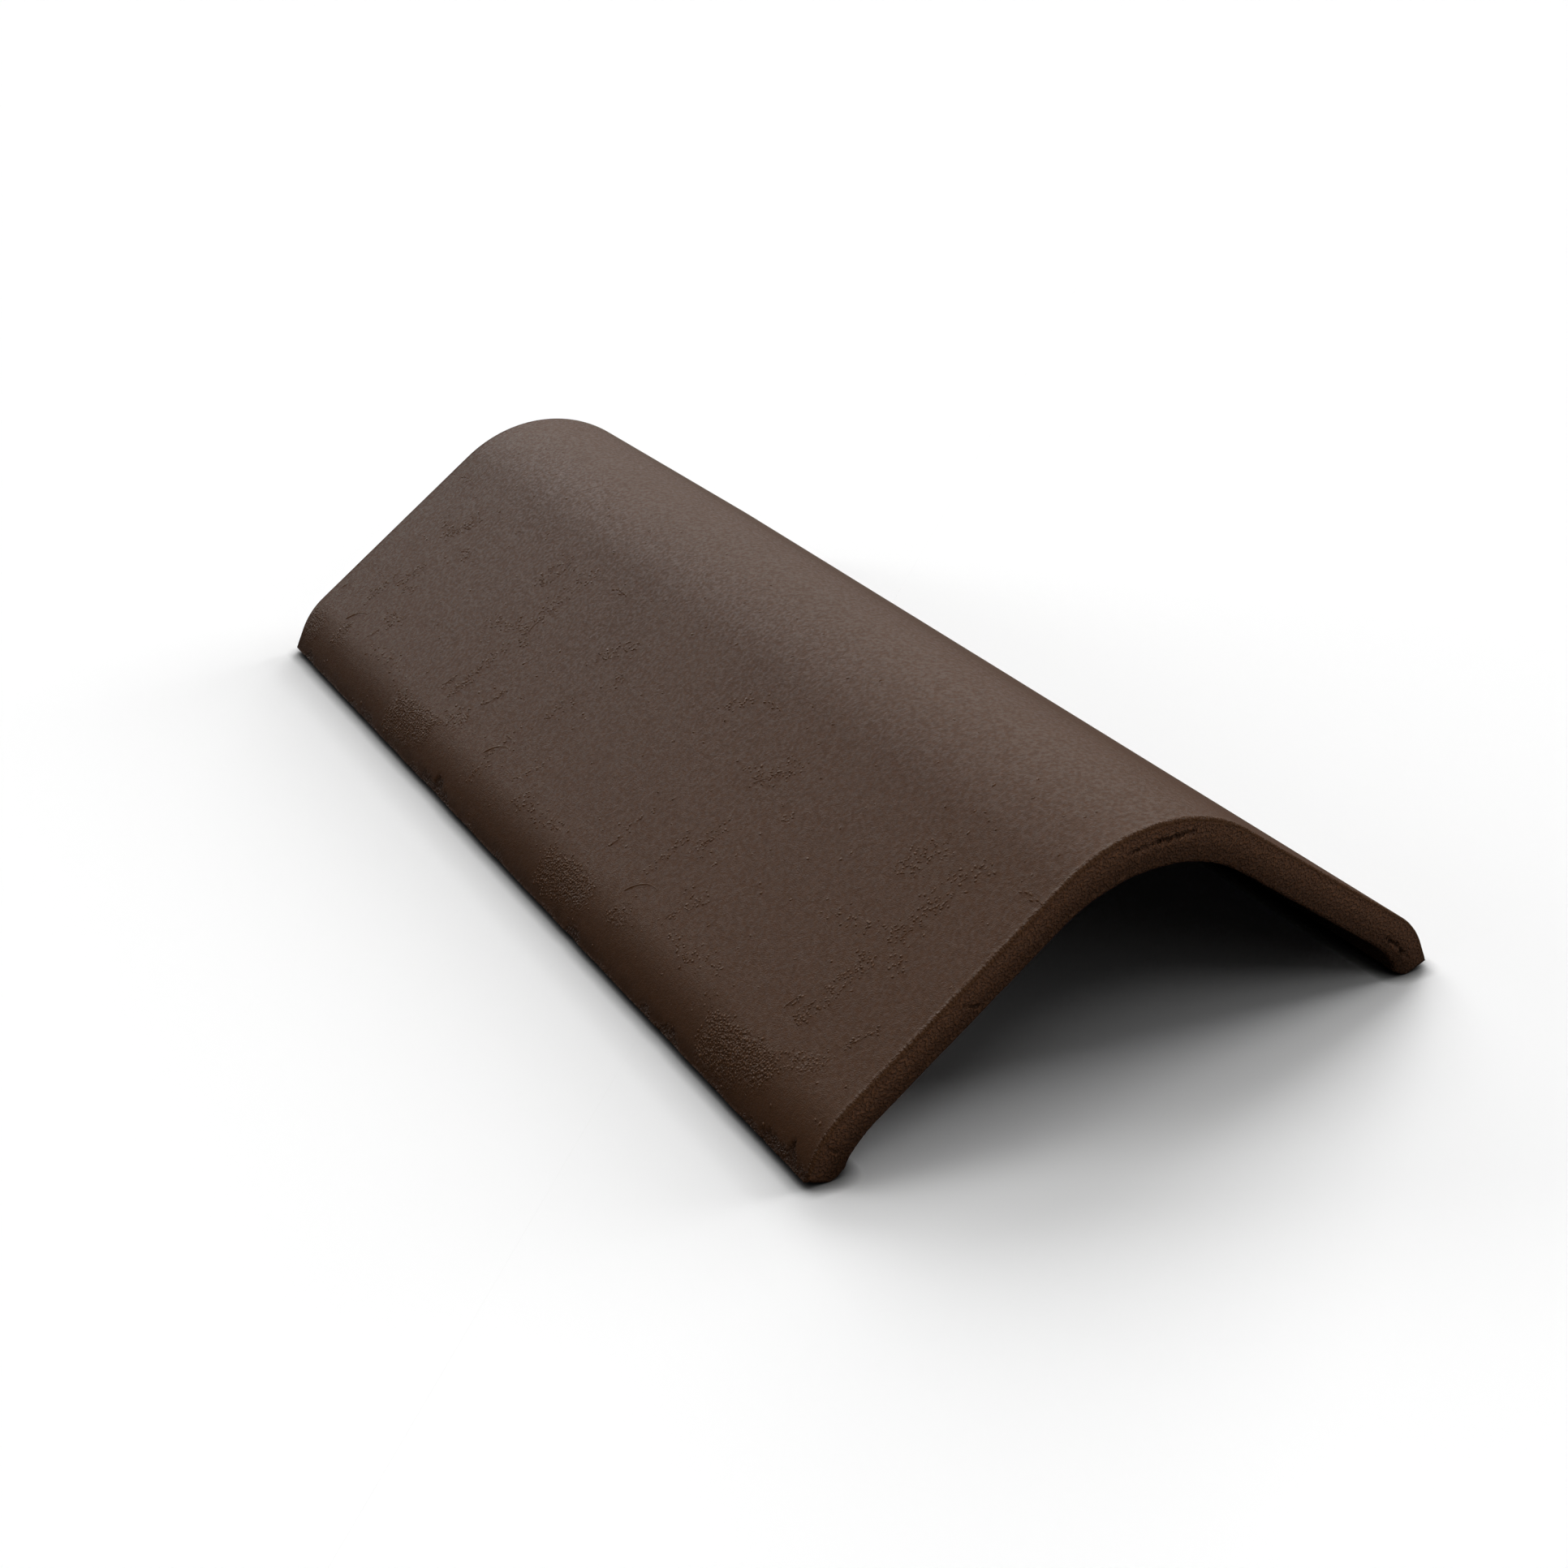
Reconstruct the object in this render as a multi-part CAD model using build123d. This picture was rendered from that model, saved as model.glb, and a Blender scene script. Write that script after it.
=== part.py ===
from build123d import *
import os
from math import cos, radians, sin, tan

# Concrete ridge tile: one moulded piece with the same section from end to end.
# Frame: X across the ridge, Y along it, Z up. The origin is on the ground, below the
# middle of the tile. Lengths are in millimetres and slopes in degrees below the horizontal.

# Sizes of the whole tile
tile_length = 420.0
tile_width = 230.0  # between the outer corners of the two feet
wall = 12.3

# Crown, the rounded top
crown_outer_radius = 55.7
crown_inner_radius = 55.5

# Flanks, the straight slopes on both sides of the crown
flank_slope = 36.1

# Knees, where a flank turns down into its foot
knee_outer_radius = 30.7
knee_inner_radius = 31.3

# Feet, the steep lower edges
foot_slope = 65.3
foot_run = 8.5  # straight outer stretch, from the knee to the outer corner
foot_cut_slope = 17.1  # the bottom slants down from the outer corner to the inner toe
toe_radius = 6.2  # inner toe, the lowest line of the tile


def crossing(first, first_slope, second, second_slope):
    """Point where a line falling at first_slope from first meets one falling at second_slope through second."""
    first_fall = tan(radians(first_slope))
    second_fall = tan(radians(second_slope))
    x = (second.Y - first.Y + second_fall * second.X - first_fall * first.X) / (second_fall - first_fall)
    return Vector(x, first.Y - first_fall * (x - first.X))


def section_corners():
    """Corners of the right half, each with its rounding radius, from the outer ridge round to the inner one.

    In these points X runs across the tile and Y is the height above the ground.
    """
    foot_down = Vector(cos(radians(foot_slope)), -sin(radians(foot_slope)))
    foot_outward = Vector(sin(radians(foot_slope)), cos(radians(foot_slope)))
    flank_outward = Vector(sin(radians(flank_slope)), cos(radians(flank_slope)))
    cut_inward = Vector(-cos(radians(foot_cut_slope)), -sin(radians(foot_cut_slope)))

    # The toe's rounding touches the ground, and that sets the height of the outer corner
    toe_angle = 180.0 - foot_slope - foot_cut_slope
    toe_from_corner = cut_inward * (wall / sin(radians(toe_angle)))
    toe_middle_slope = (180.0 - foot_slope + foot_cut_slope) / 2.0
    toe_reach = toe_radius / sin(radians(toe_angle / 2.0))
    toe_low = toe_from_corner.Y + toe_reach * sin(radians(toe_middle_slope)) - toe_radius
    outer_corner = Vector(tile_width / 2.0, -toe_low)
    toe = outer_corner + toe_from_corner

    # Outer side: the knee and the ridge as they would be if they were sharp
    knee_tangent = knee_outer_radius * tan(radians((foot_slope - flank_slope) / 2.0))
    outer_knee = outer_corner - foot_down * (foot_run + knee_tangent)
    outer_ridge = Vector(0.0, outer_knee.Y + outer_knee.X * tan(radians(flank_slope)))

    # Inner side: both slopes lie one wall further in
    inner_foot = outer_corner - foot_outward * wall
    inner_flank = outer_knee - flank_outward * wall
    inner_knee = crossing(inner_flank, flank_slope, inner_foot, foot_slope)
    inner_ridge = Vector(0.0, inner_flank.Y + inner_flank.X * tan(radians(flank_slope)))

    return [
        (outer_ridge, crown_outer_radius),
        (outer_knee, knee_outer_radius),
        (outer_corner, 0.0),
        (toe, toe_radius),
        (inner_knee, knee_inner_radius),
        (inner_ridge, crown_inner_radius),
    ]


def make_ridge_tile():
    """The tile's section, drawn across the ridge and drawn out to the tile's length."""
    right = section_corners()
    left = [(Vector(-corner.X, corner.Y), radius) for corner, radius in reversed(right[1:-1])]
    corners = right + left
    with BuildPart() as tile:
        with BuildSketch(Plane.XZ):
            with BuildLine():
                FilletPolyline(
                    [corner for corner, radius in corners],
                    radius=[radius for corner, radius in corners],
                    close=True,
                )
            make_face()
        extrude(amount=tile_length / 2.0, both=True)
    tile.part.label = "ridge_tile"
    return tile.part


os.makedirs("parts", exist_ok=True)
export_step(make_ridge_tile(), "parts/ridge_tile.step")
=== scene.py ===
"""Looks of a concrete ridge tile: its worn outer face, coarse cut ends, chipped feet and sandy crumbs."""

import logging
import math
from dataclasses import dataclass
from enum import Enum

import bpy
import numpy as np
from mathutils import Matrix, Vector, noise


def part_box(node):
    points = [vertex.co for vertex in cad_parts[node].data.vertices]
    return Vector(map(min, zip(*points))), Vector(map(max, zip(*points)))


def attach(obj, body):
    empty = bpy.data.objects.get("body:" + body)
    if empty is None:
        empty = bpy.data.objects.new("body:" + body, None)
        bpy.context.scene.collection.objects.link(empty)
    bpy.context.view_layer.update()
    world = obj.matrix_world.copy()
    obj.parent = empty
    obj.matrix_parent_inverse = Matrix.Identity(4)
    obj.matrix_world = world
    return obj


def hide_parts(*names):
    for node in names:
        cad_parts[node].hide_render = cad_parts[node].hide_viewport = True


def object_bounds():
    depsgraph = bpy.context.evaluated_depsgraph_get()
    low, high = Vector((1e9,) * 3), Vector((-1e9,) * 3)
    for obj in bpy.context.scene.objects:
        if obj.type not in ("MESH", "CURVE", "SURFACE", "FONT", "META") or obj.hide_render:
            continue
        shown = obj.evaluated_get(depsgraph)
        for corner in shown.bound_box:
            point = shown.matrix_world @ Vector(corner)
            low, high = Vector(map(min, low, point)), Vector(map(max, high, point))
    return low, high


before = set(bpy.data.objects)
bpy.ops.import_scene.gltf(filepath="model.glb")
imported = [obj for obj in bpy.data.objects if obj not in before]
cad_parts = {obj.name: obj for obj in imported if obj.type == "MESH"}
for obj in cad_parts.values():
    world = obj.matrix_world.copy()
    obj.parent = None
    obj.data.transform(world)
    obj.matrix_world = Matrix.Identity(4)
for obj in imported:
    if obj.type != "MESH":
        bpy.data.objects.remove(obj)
cad_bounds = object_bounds()

MM = 0.001
PER_METRE = 1000.0  # millimetres in a metre
NODE = "ridge_tile"
BODY = "root"
OCTAVE_SHIFT = 17.3  # moves each finer layer of a noise field
BLACK = (0.0, 0.0, 0.0, 1.0)
WHITE = (1.0, 1.0, 1.0, 1.0)

log = logging.getLogger("ridge_tile")


class Side(Enum):
    """The two long feet of the tile, by the sign of their X."""

    LEFT = -1
    RIGHT = 1


class End(Enum):
    """The two cut ends of the tile, by the sign of their Y."""

    FRONT = -1
    BACK = 1


def smooth_step(low: float, high: float, value: np.ndarray) -> np.ndarray:
    """Ramp that runs smoothly from 0 at low to 1 at high.

    Args:
        low: value where the ramp starts.
        high: value where the ramp ends.
        value: where to read the ramp.

    Returns:
        The ramp's height for each value.
    """
    t = np.clip((value - low) / (high - low), 0.0, 1.0)
    return t * t * (3.0 - 2.0 * t)


def noise_field(points: np.ndarray, size: float, octaves: int = 1, shift: float = 0.0) -> np.ndarray:
    """Gradient noise over points in space.

    Args:
        points: one row of X, Y, Z for each point, in metres.
        size: size of one lump, in metres.
        octaves: how many finer layers are added, each half as large and half as high.
        shift: moves the pattern, so that two fields of one size differ.

    Returns:
        One value for each point, about -1 to 1.
    """
    total = np.zeros(len(points))
    height = 1.0
    for octave in range(octaves):
        scaled = points * (2.0**octave / size) + shift + OCTAVE_SHIFT * octave
        total += height * np.array([noise.noise(Vector(p)) for p in scaled])
        height *= 0.5
    return total


def cell_field(points: np.ndarray, size: float, shift: float = 0.0) -> np.ndarray:
    """Distance to the nearest cell centre, for lumpy and crumbly surfaces.

    Args:
        points: one row of X, Y, Z for each point, in metres.
        size: size of one cell, in metres.
        shift: moves the pattern.

    Returns:
        One value for each point, 0 at a cell's centre and about 1 between cells.
    """
    scaled = points / size + shift
    return np.array([noise.voronoi(Vector(p))[0][0] for p in scaled])


def rounded_path(
    corners: list[Vector], radii: list[float], turn_step: float = math.radians(2.0)
) -> np.ndarray:
    """Straight runs joined by tangent arcs.

    Args:
        corners: the path's points as they would be if they were sharp.
        radii: one radius for each point but the first and the last, or 0 for a sharp corner.
        turn_step: how far an arc turns between two points of the result.

    Returns:
        The path as rows of X and Z.
    """
    points = [corners[0]]
    for before, corner, after, radius in zip(corners, corners[1:], corners[2:], radii):
        arrive = (corner - before).normalized()
        leave = (after - corner).normalized()
        turn = arrive.angle_signed(leave)
        if radius == 0.0:
            points.append(corner)
            continue
        tangent = radius * math.tan(abs(turn) / 2.0)
        start = corner - arrive * tangent
        inward = Vector((arrive.y, -arrive.x)) * math.copysign(radius, turn)
        centre = start + inward
        steps = max(2, math.ceil(abs(turn) / turn_step))
        for step in range(steps + 1):
            angle = -turn * step / steps
            arm = -inward
            turned = Vector(
                (
                    arm.x * math.cos(angle) - arm.y * math.sin(angle),
                    arm.x * math.sin(angle) + arm.y * math.cos(angle),
                )
            )
            points.append(centre + turned)
    points.append(corners[-1])
    return np.array([(p.x, p.y) for p in points])


def step_lengths(path: np.ndarray) -> np.ndarray:
    """Length of each straight step of a path."""
    return np.linalg.norm(np.diff(path, axis=0), axis=1)


def distances_along(path: np.ndarray) -> np.ndarray:
    """Distance of each point of a path from its start, along the path."""
    return np.concatenate([[0.0], np.cumsum(step_lengths(path))])


def spread_along(path: np.ndarray, count: int) -> np.ndarray:
    """Points evenly spaced along a path.

    Args:
        path: the path's points.
        count: how many equal steps the path is divided into.

    Returns:
        count + 1 points, with the path's own first and last point.
    """
    lengths = distances_along(path)
    at = np.linspace(0.0, lengths[-1], count + 1)
    return np.stack([np.interp(at, lengths, path[:, axis]) for axis in range(2)], axis=1)


def between(grid: np.ndarray, u: np.ndarray, w: np.ndarray) -> np.ndarray:
    """Points between those of a grid.

    Args:
        grid: the grid's points, first by column and then by row.
        u: where to read it, counted in columns.
        w: the same, counted in rows.

    Returns:
        One point for each place.
    """
    a = np.minimum(u.astype(int), grid.shape[0] - 2)
    b = np.minimum(w.astype(int), grid.shape[1] - 2)
    part_u = (u - a)[:, None]
    part_w = (w - b)[:, None]
    near = grid[a, b] * (1.0 - part_w) + grid[a, b + 1] * part_w
    far = grid[a + 1, b] * (1.0 - part_w) + grid[a + 1, b + 1] * part_w
    return near * (1.0 - part_u) + far * part_u


def add_layer(mesh: bpy.types.Mesh, name: str, values: np.ndarray) -> None:
    """Keeps one value for each point of a mesh, for a finish or a node tree to read."""
    layer = mesh.attributes.new(name, "FLOAT", "POINT")
    layer.data.foreach_set("value", values.astype(np.float32))


@dataclass(frozen=True)
class Section:
    """The tile's section, the same from end to end. Lengths are in metres and slopes in radians.

    The outline is read as a bent box: u runs across the tile from the left foot to the right one, and w
    runs through the wall from the outer face to the inner one.
    """

    width: float
    length: float
    wall: float = 12.3 * MM
    crown_outer_radius: float = 55.7 * MM
    crown_inner_radius: float = 55.5 * MM
    flank_slope: float = math.radians(36.1)
    knee_outer_radius: float = 30.7 * MM
    knee_inner_radius: float = 31.3 * MM
    foot_slope: float = math.radians(65.3)
    foot_run: float = 8.5 * MM
    foot_cut_slope: float = math.radians(17.1)
    toe_radius: float = 6.2 * MM

    def corners(self) -> tuple[Vector, ...]:
        """Sharp corners of the right half: ridge, knee, foot corner, toe, inner knee and inner ridge."""
        foot_down = Vector((math.cos(self.foot_slope), -math.sin(self.foot_slope)))
        foot_outward = Vector((math.sin(self.foot_slope), math.cos(self.foot_slope)))
        flank_outward = Vector((math.sin(self.flank_slope), math.cos(self.flank_slope)))
        cut_inward = Vector((-math.cos(self.foot_cut_slope), -math.sin(self.foot_cut_slope)))
        toe_angle = math.pi - self.foot_slope - self.foot_cut_slope
        toe_from_corner = cut_inward * (self.wall / math.sin(toe_angle))
        toe_middle = (math.pi - self.foot_slope + self.foot_cut_slope) / 2.0
        toe_reach = self.toe_radius / math.sin(toe_angle / 2.0)
        toe_low = toe_from_corner.y + toe_reach * math.sin(toe_middle) - self.toe_radius
        foot = Vector((self.width / 2.0, -toe_low))
        toe = foot + toe_from_corner
        knee_tangent = self.knee_outer_radius * math.tan((self.foot_slope - self.flank_slope) / 2.0)
        knee = foot - foot_down * (self.foot_run + knee_tangent)
        rise = math.tan(self.flank_slope)
        ridge = Vector((0.0, knee.y + knee.x * rise))
        inner_foot = foot - foot_outward * self.wall
        inner_flank = knee - flank_outward * self.wall
        fall = math.tan(self.foot_slope)
        knee_x = (inner_foot.y - inner_flank.y + fall * inner_foot.x - rise * inner_flank.x) / (fall - rise)
        inner_knee = Vector((knee_x, inner_flank.y - rise * (knee_x - inner_flank.x)))
        inner_ridge = Vector((0.0, inner_flank.y + inner_flank.x * rise))
        return ridge, knee, foot, toe, inner_knee, inner_ridge

    def sides(self) -> tuple[np.ndarray, np.ndarray, np.ndarray, np.ndarray]:
        """The four sides of the bent box: outer and inner faces from left to right, then both foot bottoms.

        Returns:
            The outer path, the inner path, and the left and right bottoms from the outer corner to the toe.
        """
        ridge, knee, foot, toe, inner_knee, inner_ridge = self.corners()

        def left(corner: Vector) -> Vector:
            """The same corner on the tile's left half."""
            return Vector((-corner.x, corner.y))

        outer = rounded_path(
            [left(foot), left(knee), ridge, knee, foot],
            [self.knee_outer_radius, self.crown_outer_radius, self.knee_outer_radius],
        )
        under = rounded_path(
            [left(foot), left(toe), left(inner_knee), inner_ridge, inner_knee, toe, foot],
            [
                self.toe_radius,
                self.knee_inner_radius,
                self.crown_inner_radius,
                self.knee_inner_radius,
                self.toe_radius,
            ],
        )
        half = len(under) // 2
        left_toe = int(np.argmin(under[:half, 1]))
        right_toe = half + int(np.argmin(under[half:, 1]))
        left_bottom = under[: left_toe + 1]
        right_bottom = under[right_toe:][::-1]
        return outer, under[left_toe : right_toe + 1], left_bottom, right_bottom

    def outer_length(self) -> float:
        """Length of the outer face round the section, from foot to foot."""
        return float(step_lengths(self.sides()[0]).sum())


@dataclass(frozen=True)
class Chip:
    """A piece broken out of the lower outer edge of a foot. Lengths are in millimetres.

    Attributes:
        along: distance of its middle from the front end.
        half_length: half of its length along the edge.
        reach: how far it climbs the foot.
        depth: how deep it is.
    """

    along: float
    half_length: float
    reach: float
    depth: float


@dataclass(frozen=True)
class Streak:
    """A band of sandy crumbs on the outer face. Lengths are in millimetres.

    Attributes:
        start: distance from the front end and distance up from the left foot, where it starts.
        stop: the same, where it ends.
        half_width: half of its width.
        amount: how crowded it is, from 0 to 1.
    """

    start: tuple[float, float]
    stop: tuple[float, float]
    half_width: float
    amount: float


PATTERN_TURNS = 2  # how many times the pressing marks come along the tile
PATTERN_REPEAT = 256.0  # the distance after which they come back, in millimetres
STREAK_FADE = (0.3, 1.3)  # where a streak starts to thin out and where it ends, in its half widths
WAVE_SIZE = 60.0 * MM  # of the slow waves in the outer face
WAVE_HEIGHT = 0.03  # in millimetres
WAVE_SINK = 0.12  # how far the waves lie below the true face, in millimetres

CHIPS = (
    Chip(3.0, 6.0, 4.0, 0.35),
    Chip(11.0, 6.5, 7.0, 0.50),
    Chip(20.0, 7.0, 5.0, 0.45),
    Chip(31.0, 6.0, 3.5, 0.30),
    Chip(52.0, 9.0, 1.6, 0.20),
    Chip(82.0, 8.0, 4.2, 0.40),
    Chip(97.0, 4.5, 3.6, 0.30),
    Chip(126.0, 9.0, 1.5, 0.20),
    Chip(149.0, 6.5, 3.8, 0.40),
    Chip(168.0, 7.0, 1.8, 0.20),
    Chip(209.0, 4.5, 3.2, 0.30),
    Chip(236.0, 8.0, 1.8, 0.25),
)

STREAKS = (
    Streak((28.0, 101.0), (34.0, 82.0), 5.0, 0.30),
    Streak((46.0, 96.0), (50.0, 88.0), 5.5, 0.45),
    Streak((31.0, 84.0), (34.0, 68.0), 3.5, 0.60),
    Streak((34.0, 70.0), (24.0, 62.0), 3.5, 0.40),
    Streak((40.0, 68.0), (57.0, 62.0), 3.0, 0.40),
    Streak((35.0, 58.0), (38.0, 34.0), 3.5, 0.60),
    Streak((44.0, 38.0), (46.0, 32.0), 1.2, 0.80),
    Streak((13.0, 47.0), (17.0, 37.0), 1.4, 0.70),
    Streak((20.0, 30.0), (28.0, 24.0), 4.0, 0.50),
    Streak((30.0, 20.0), (42.0, 20.0), 2.5, 0.45),
    Streak((36.0, 16.0), (62.0, 15.0), 5.5, 1.00),
    Streak((48.0, 10.0), (64.0, 8.0), 5.0, 0.80),
    Streak((66.0, 17.0), (84.0, 26.0), 3.5, 0.22),
    Streak((78.0, 26.0), (104.0, 24.0), 3.5, 0.35),
    Streak((106.0, 38.0), (112.0, 26.0), 1.8, 0.60),
    Streak((104.0, 40.0), (113.0, 37.0), 3.0, 0.35),
    Streak((103.0, 76.0), (108.0, 77.0), 3.0, 0.40),
    Streak((118.0, 89.0), (128.0, 78.0), 3.0, 0.60),
    Streak((116.0, 90.0), (124.0, 91.0), 2.5, 0.45),
    Streak((128.0, 81.0), (136.0, 80.0), 2.0, 0.40),
    Streak((122.0, 60.0), (126.0, 52.0), 3.5, 0.45),
    Streak((114.0, 51.0), (134.0, 49.0), 2.2, 0.40),
    Streak((133.0, 52.0), (135.0, 34.0), 2.0, 0.50),
    Streak((130.0, 24.0), (134.0, 16.0), 3.0, 0.60),
    Streak((156.0, 50.0), (158.0, 33.0), 1.6, 0.50),
    Streak((161.0, 97.0), (166.0, 90.0), 4.0, 0.40),
    Streak((150.0, 18.0), (166.0, 17.0), 3.0, 0.70),
    Streak((162.0, 16.0), (180.0, 14.0), 5.5, 1.00),
    Streak((166.0, 9.0), (180.0, 7.0), 4.5, 0.80),
    Streak((186.0, 24.0), (214.0, 22.0), 3.5, 0.30),
    Streak((218.0, 38.0), (224.0, 26.0), 1.8, 0.50),
    Streak((231.0, 89.0), (241.0, 79.0), 3.0, 0.60),
    Streak((220.0, 76.0), (226.0, 77.0), 3.0, 0.35),
    Streak((234.0, 60.0), (238.0, 51.0), 3.5, 0.40),
    Streak((245.0, 42.0), (247.0, 26.0), 1.8, 0.50),
    Streak((243.0, 22.0), (247.0, 15.0), 2.5, 0.50),
)

PATCHES = (
    Streak((38.0, 15.0), (60.0, 12.0), 8.0, 1.0),
    Streak((47.0, 9.0), (62.0, 7.0), 6.0, 0.9),
    Streak((155.0, 14.0), (174.0, 11.0), 7.5, 1.0),
    Streak((128.0, 18.0), (133.0, 16.0), 4.0, 0.5),
    Streak((20.0, 27.0), (27.0, 24.0), 4.0, 0.5),
)


@dataclass(frozen=True)
class Burr:
    """A thin raised line on the outer face. Lengths are in millimetres.

    Attributes:
        route: points of the line, each by its distances from the front end and up from the left foot.
        thin: half of its width where it starts.
        thick: half of its width near its end.
    """

    route: tuple[tuple[float, float], ...]
    thin: float
    thick: float


BURRS = (
    Burr(((125.5, 32.0), (130.8, 31.0), (134.3, 28.2), (136.6, 24.4)), 0.20, 0.42),
    Burr(((239.5, 32.0), (244.8, 31.0), (248.3, 28.2), (250.6, 24.4)), 0.20, 0.42),
    Burr(((110.0, 34.0), (111.3, 30.5), (112.2, 27.0)), 0.08, 0.20),
    Burr(((44.5, 38.5), (45.4, 36.0), (46.2, 33.0)), 0.15, 0.28),
    Burr(((157.0, 37.0), (157.8, 34.5), (158.6, 32.5)), 0.15, 0.25),
    Burr(((13.0, 46.0), (14.5, 42.0), (17.0, 37.5)), 0.10, 0.18),
    Burr(((119.0, 88.0), (123.0, 84.0), (128.5, 77.0)), 0.08, 0.16),
    Burr(((30.0, 76.0), (31.0, 73.0), (31.5, 69.0)), 0.08, 0.18),
)


@dataclass(frozen=True)
class WavyMark:
    """A wavy chain of short thick crumbs along the tile. Lengths are in millimetres.

    Attributes:
        along: distance of its start from the front end.
        up: its distance up from the left foot.
        crumbs: how many crumbs are in the chain.
        pitch: distance between the starts of two crumbs.
        crumb_length: length of a crumb.
        sway: how far the chain swings to each side.
        sway_turn: how far the swing turns from crumb to crumb, in radians.
        slant: how far up the end of a crumb stands from its start at most.
        slant_turn: how far the slant turns from crumb to crumb, in radians.
        thin: half of a crumb's width where it starts.
        thick: half of a crumb's width near its end.
    """

    along: float
    up: float = 101.4
    crumbs: int = 6
    pitch: float = 1.75
    crumb_length: float = 1.5
    sway: float = 0.55
    sway_turn: float = 2.3
    slant: float = 0.5
    slant_turn: float = 1.9
    thin: float = 0.34
    thick: float = 0.46

    def burrs(self) -> tuple[Burr, ...]:
        """One short burr for each crumb."""
        chain = []
        for step in range(self.crumbs):
            start = self.along + self.pitch * step
            low = self.up + self.sway * math.sin(self.sway_turn * step)
            high = low + self.slant * math.cos(self.slant_turn * step)
            chain.append(Burr(((start, low), (start + self.crumb_length, high)), self.thin, self.thick))
        return tuple(chain)


WAVY_MARKS = WavyMark(0.8).burrs() + WavyMark(144.2).burrs()


@dataclass(frozen=True)
class Tear:
    """A tear in a cut end, seen from outside. Lengths are in millimetres.

    Attributes:
        start: distance right of the middle and height, where it starts.
        stop: the same, where it ends.
        half_width: half of its width.
        deep: its depth.
        waver: how far it wanders from a straight line.
    """

    start: tuple[float, float]
    stop: tuple[float, float]
    half_width: float
    deep: float
    waver: float


END_TEARS = (
    Tear((-10.5, 75.4), (0.0, 76.6), 1.0, 0.60, 0.9),
    Tear((-1.0, 76.6), (12.5, 76.2), 1.1, 0.80, 0.9),
    Tear((-64.0, 42.5), (-59.5, 41.5), 0.9, 0.45, 0.8),
    Tear((96.0, 15.5), (101.0, 11.0), 1.1, 0.60, 1.0),
    Tear((100.5, 12.0), (105.5, 6.5), 1.0, 0.55, 1.0),
    Tear((-108.0, 12.0), (-104.5, 8.5), 0.9, 0.40, 0.8),
)


def crowding(streaks: tuple[Streak, ...], along: np.ndarray, up: np.ndarray) -> np.ndarray:
    """How thick a set of streaks lies, with its pattern repeated along the tile.

    Args:
        streaks: the streaks of one repeat.
        along: distances from the front end, in millimetres.
        up: distances up from the left foot, in millimetres.

    Returns:
        One value for each place, from 0 to 1.
    """
    density = np.zeros(len(along))
    for streak in streaks:
        for turn in range(PATTERN_TURNS):
            start = np.array(streak.start) + (turn * PATTERN_REPEAT, 0.0)
            stop = np.array(streak.stop) + (turn * PATTERN_REPEAT, 0.0)
            run = stop - start
            t = np.clip(((along - start[0]) * run[0] + (up - start[1]) * run[1]) / (run @ run), 0.0, 1.0)
            away = np.hypot(along - start[0] - t * run[0], up - start[1] - t * run[1])
            fade = 1.0 - smooth_step(*STREAK_FADE, away / streak.half_width)
            density = np.maximum(density, streak.amount * fade)
    return density


def outer_sink(place: np.ndarray) -> np.ndarray:
    """How far the outer face stands off its true shape, in metres: slow waves that stay below it."""
    return (WAVE_HEIGHT * noise_field(place, WAVE_SIZE, 2) - WAVE_SINK) * MM


@dataclass(frozen=True)
class OuterFace:
    """Places on the outer face, by their distances from the front end and up from the left foot.

    What lies on the right slope is the left slope's, turned half round the tile's middle.
    """

    section: Section

    def place(
        self, along: np.ndarray, up: np.ndarray, side: Side, lift: float | np.ndarray = 0.0
    ) -> np.ndarray:
        """Points on the worn outer face.

        Args:
            along: distances from the front end, in millimetres.
            up: distances up the face from the left foot's outer corner, in millimetres.
            side: the left slope, or the right one with the same pattern turned half round.
            lift: how far the points stand off the face, in metres.

        Returns:
            One row of X, Y, Z for each point, in metres.
        """
        outer = self.section.sides()[0]
        steps = np.diff(outer, axis=0)
        runs = step_lengths(outer)
        girth = distances_along(outer)
        at = np.asarray(up) * MM
        x = np.interp(at, girth, outer[:, 0])
        z = np.interp(at, girth, outer[:, 1])
        inside = np.clip(np.searchsorted(girth, at, side="right") - 1, 0, len(steps) - 1)
        direction = steps[inside] / runs[inside][:, None]
        y = np.asarray(along) * MM - self.section.length / 2.0
        turn = -side.value
        flat = np.stack([x * turn, y * turn, z], axis=1)
        outward = np.stack([-direction[:, 1] * turn, np.zeros(len(x)), direction[:, 0]], axis=1)
        return flat + outward * (outer_sink(flat) + lift)[:, None]

    def girth(self) -> float:
        """Length of the outer face round the section, in millimetres."""
        return self.section.outer_length() / MM


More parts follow.
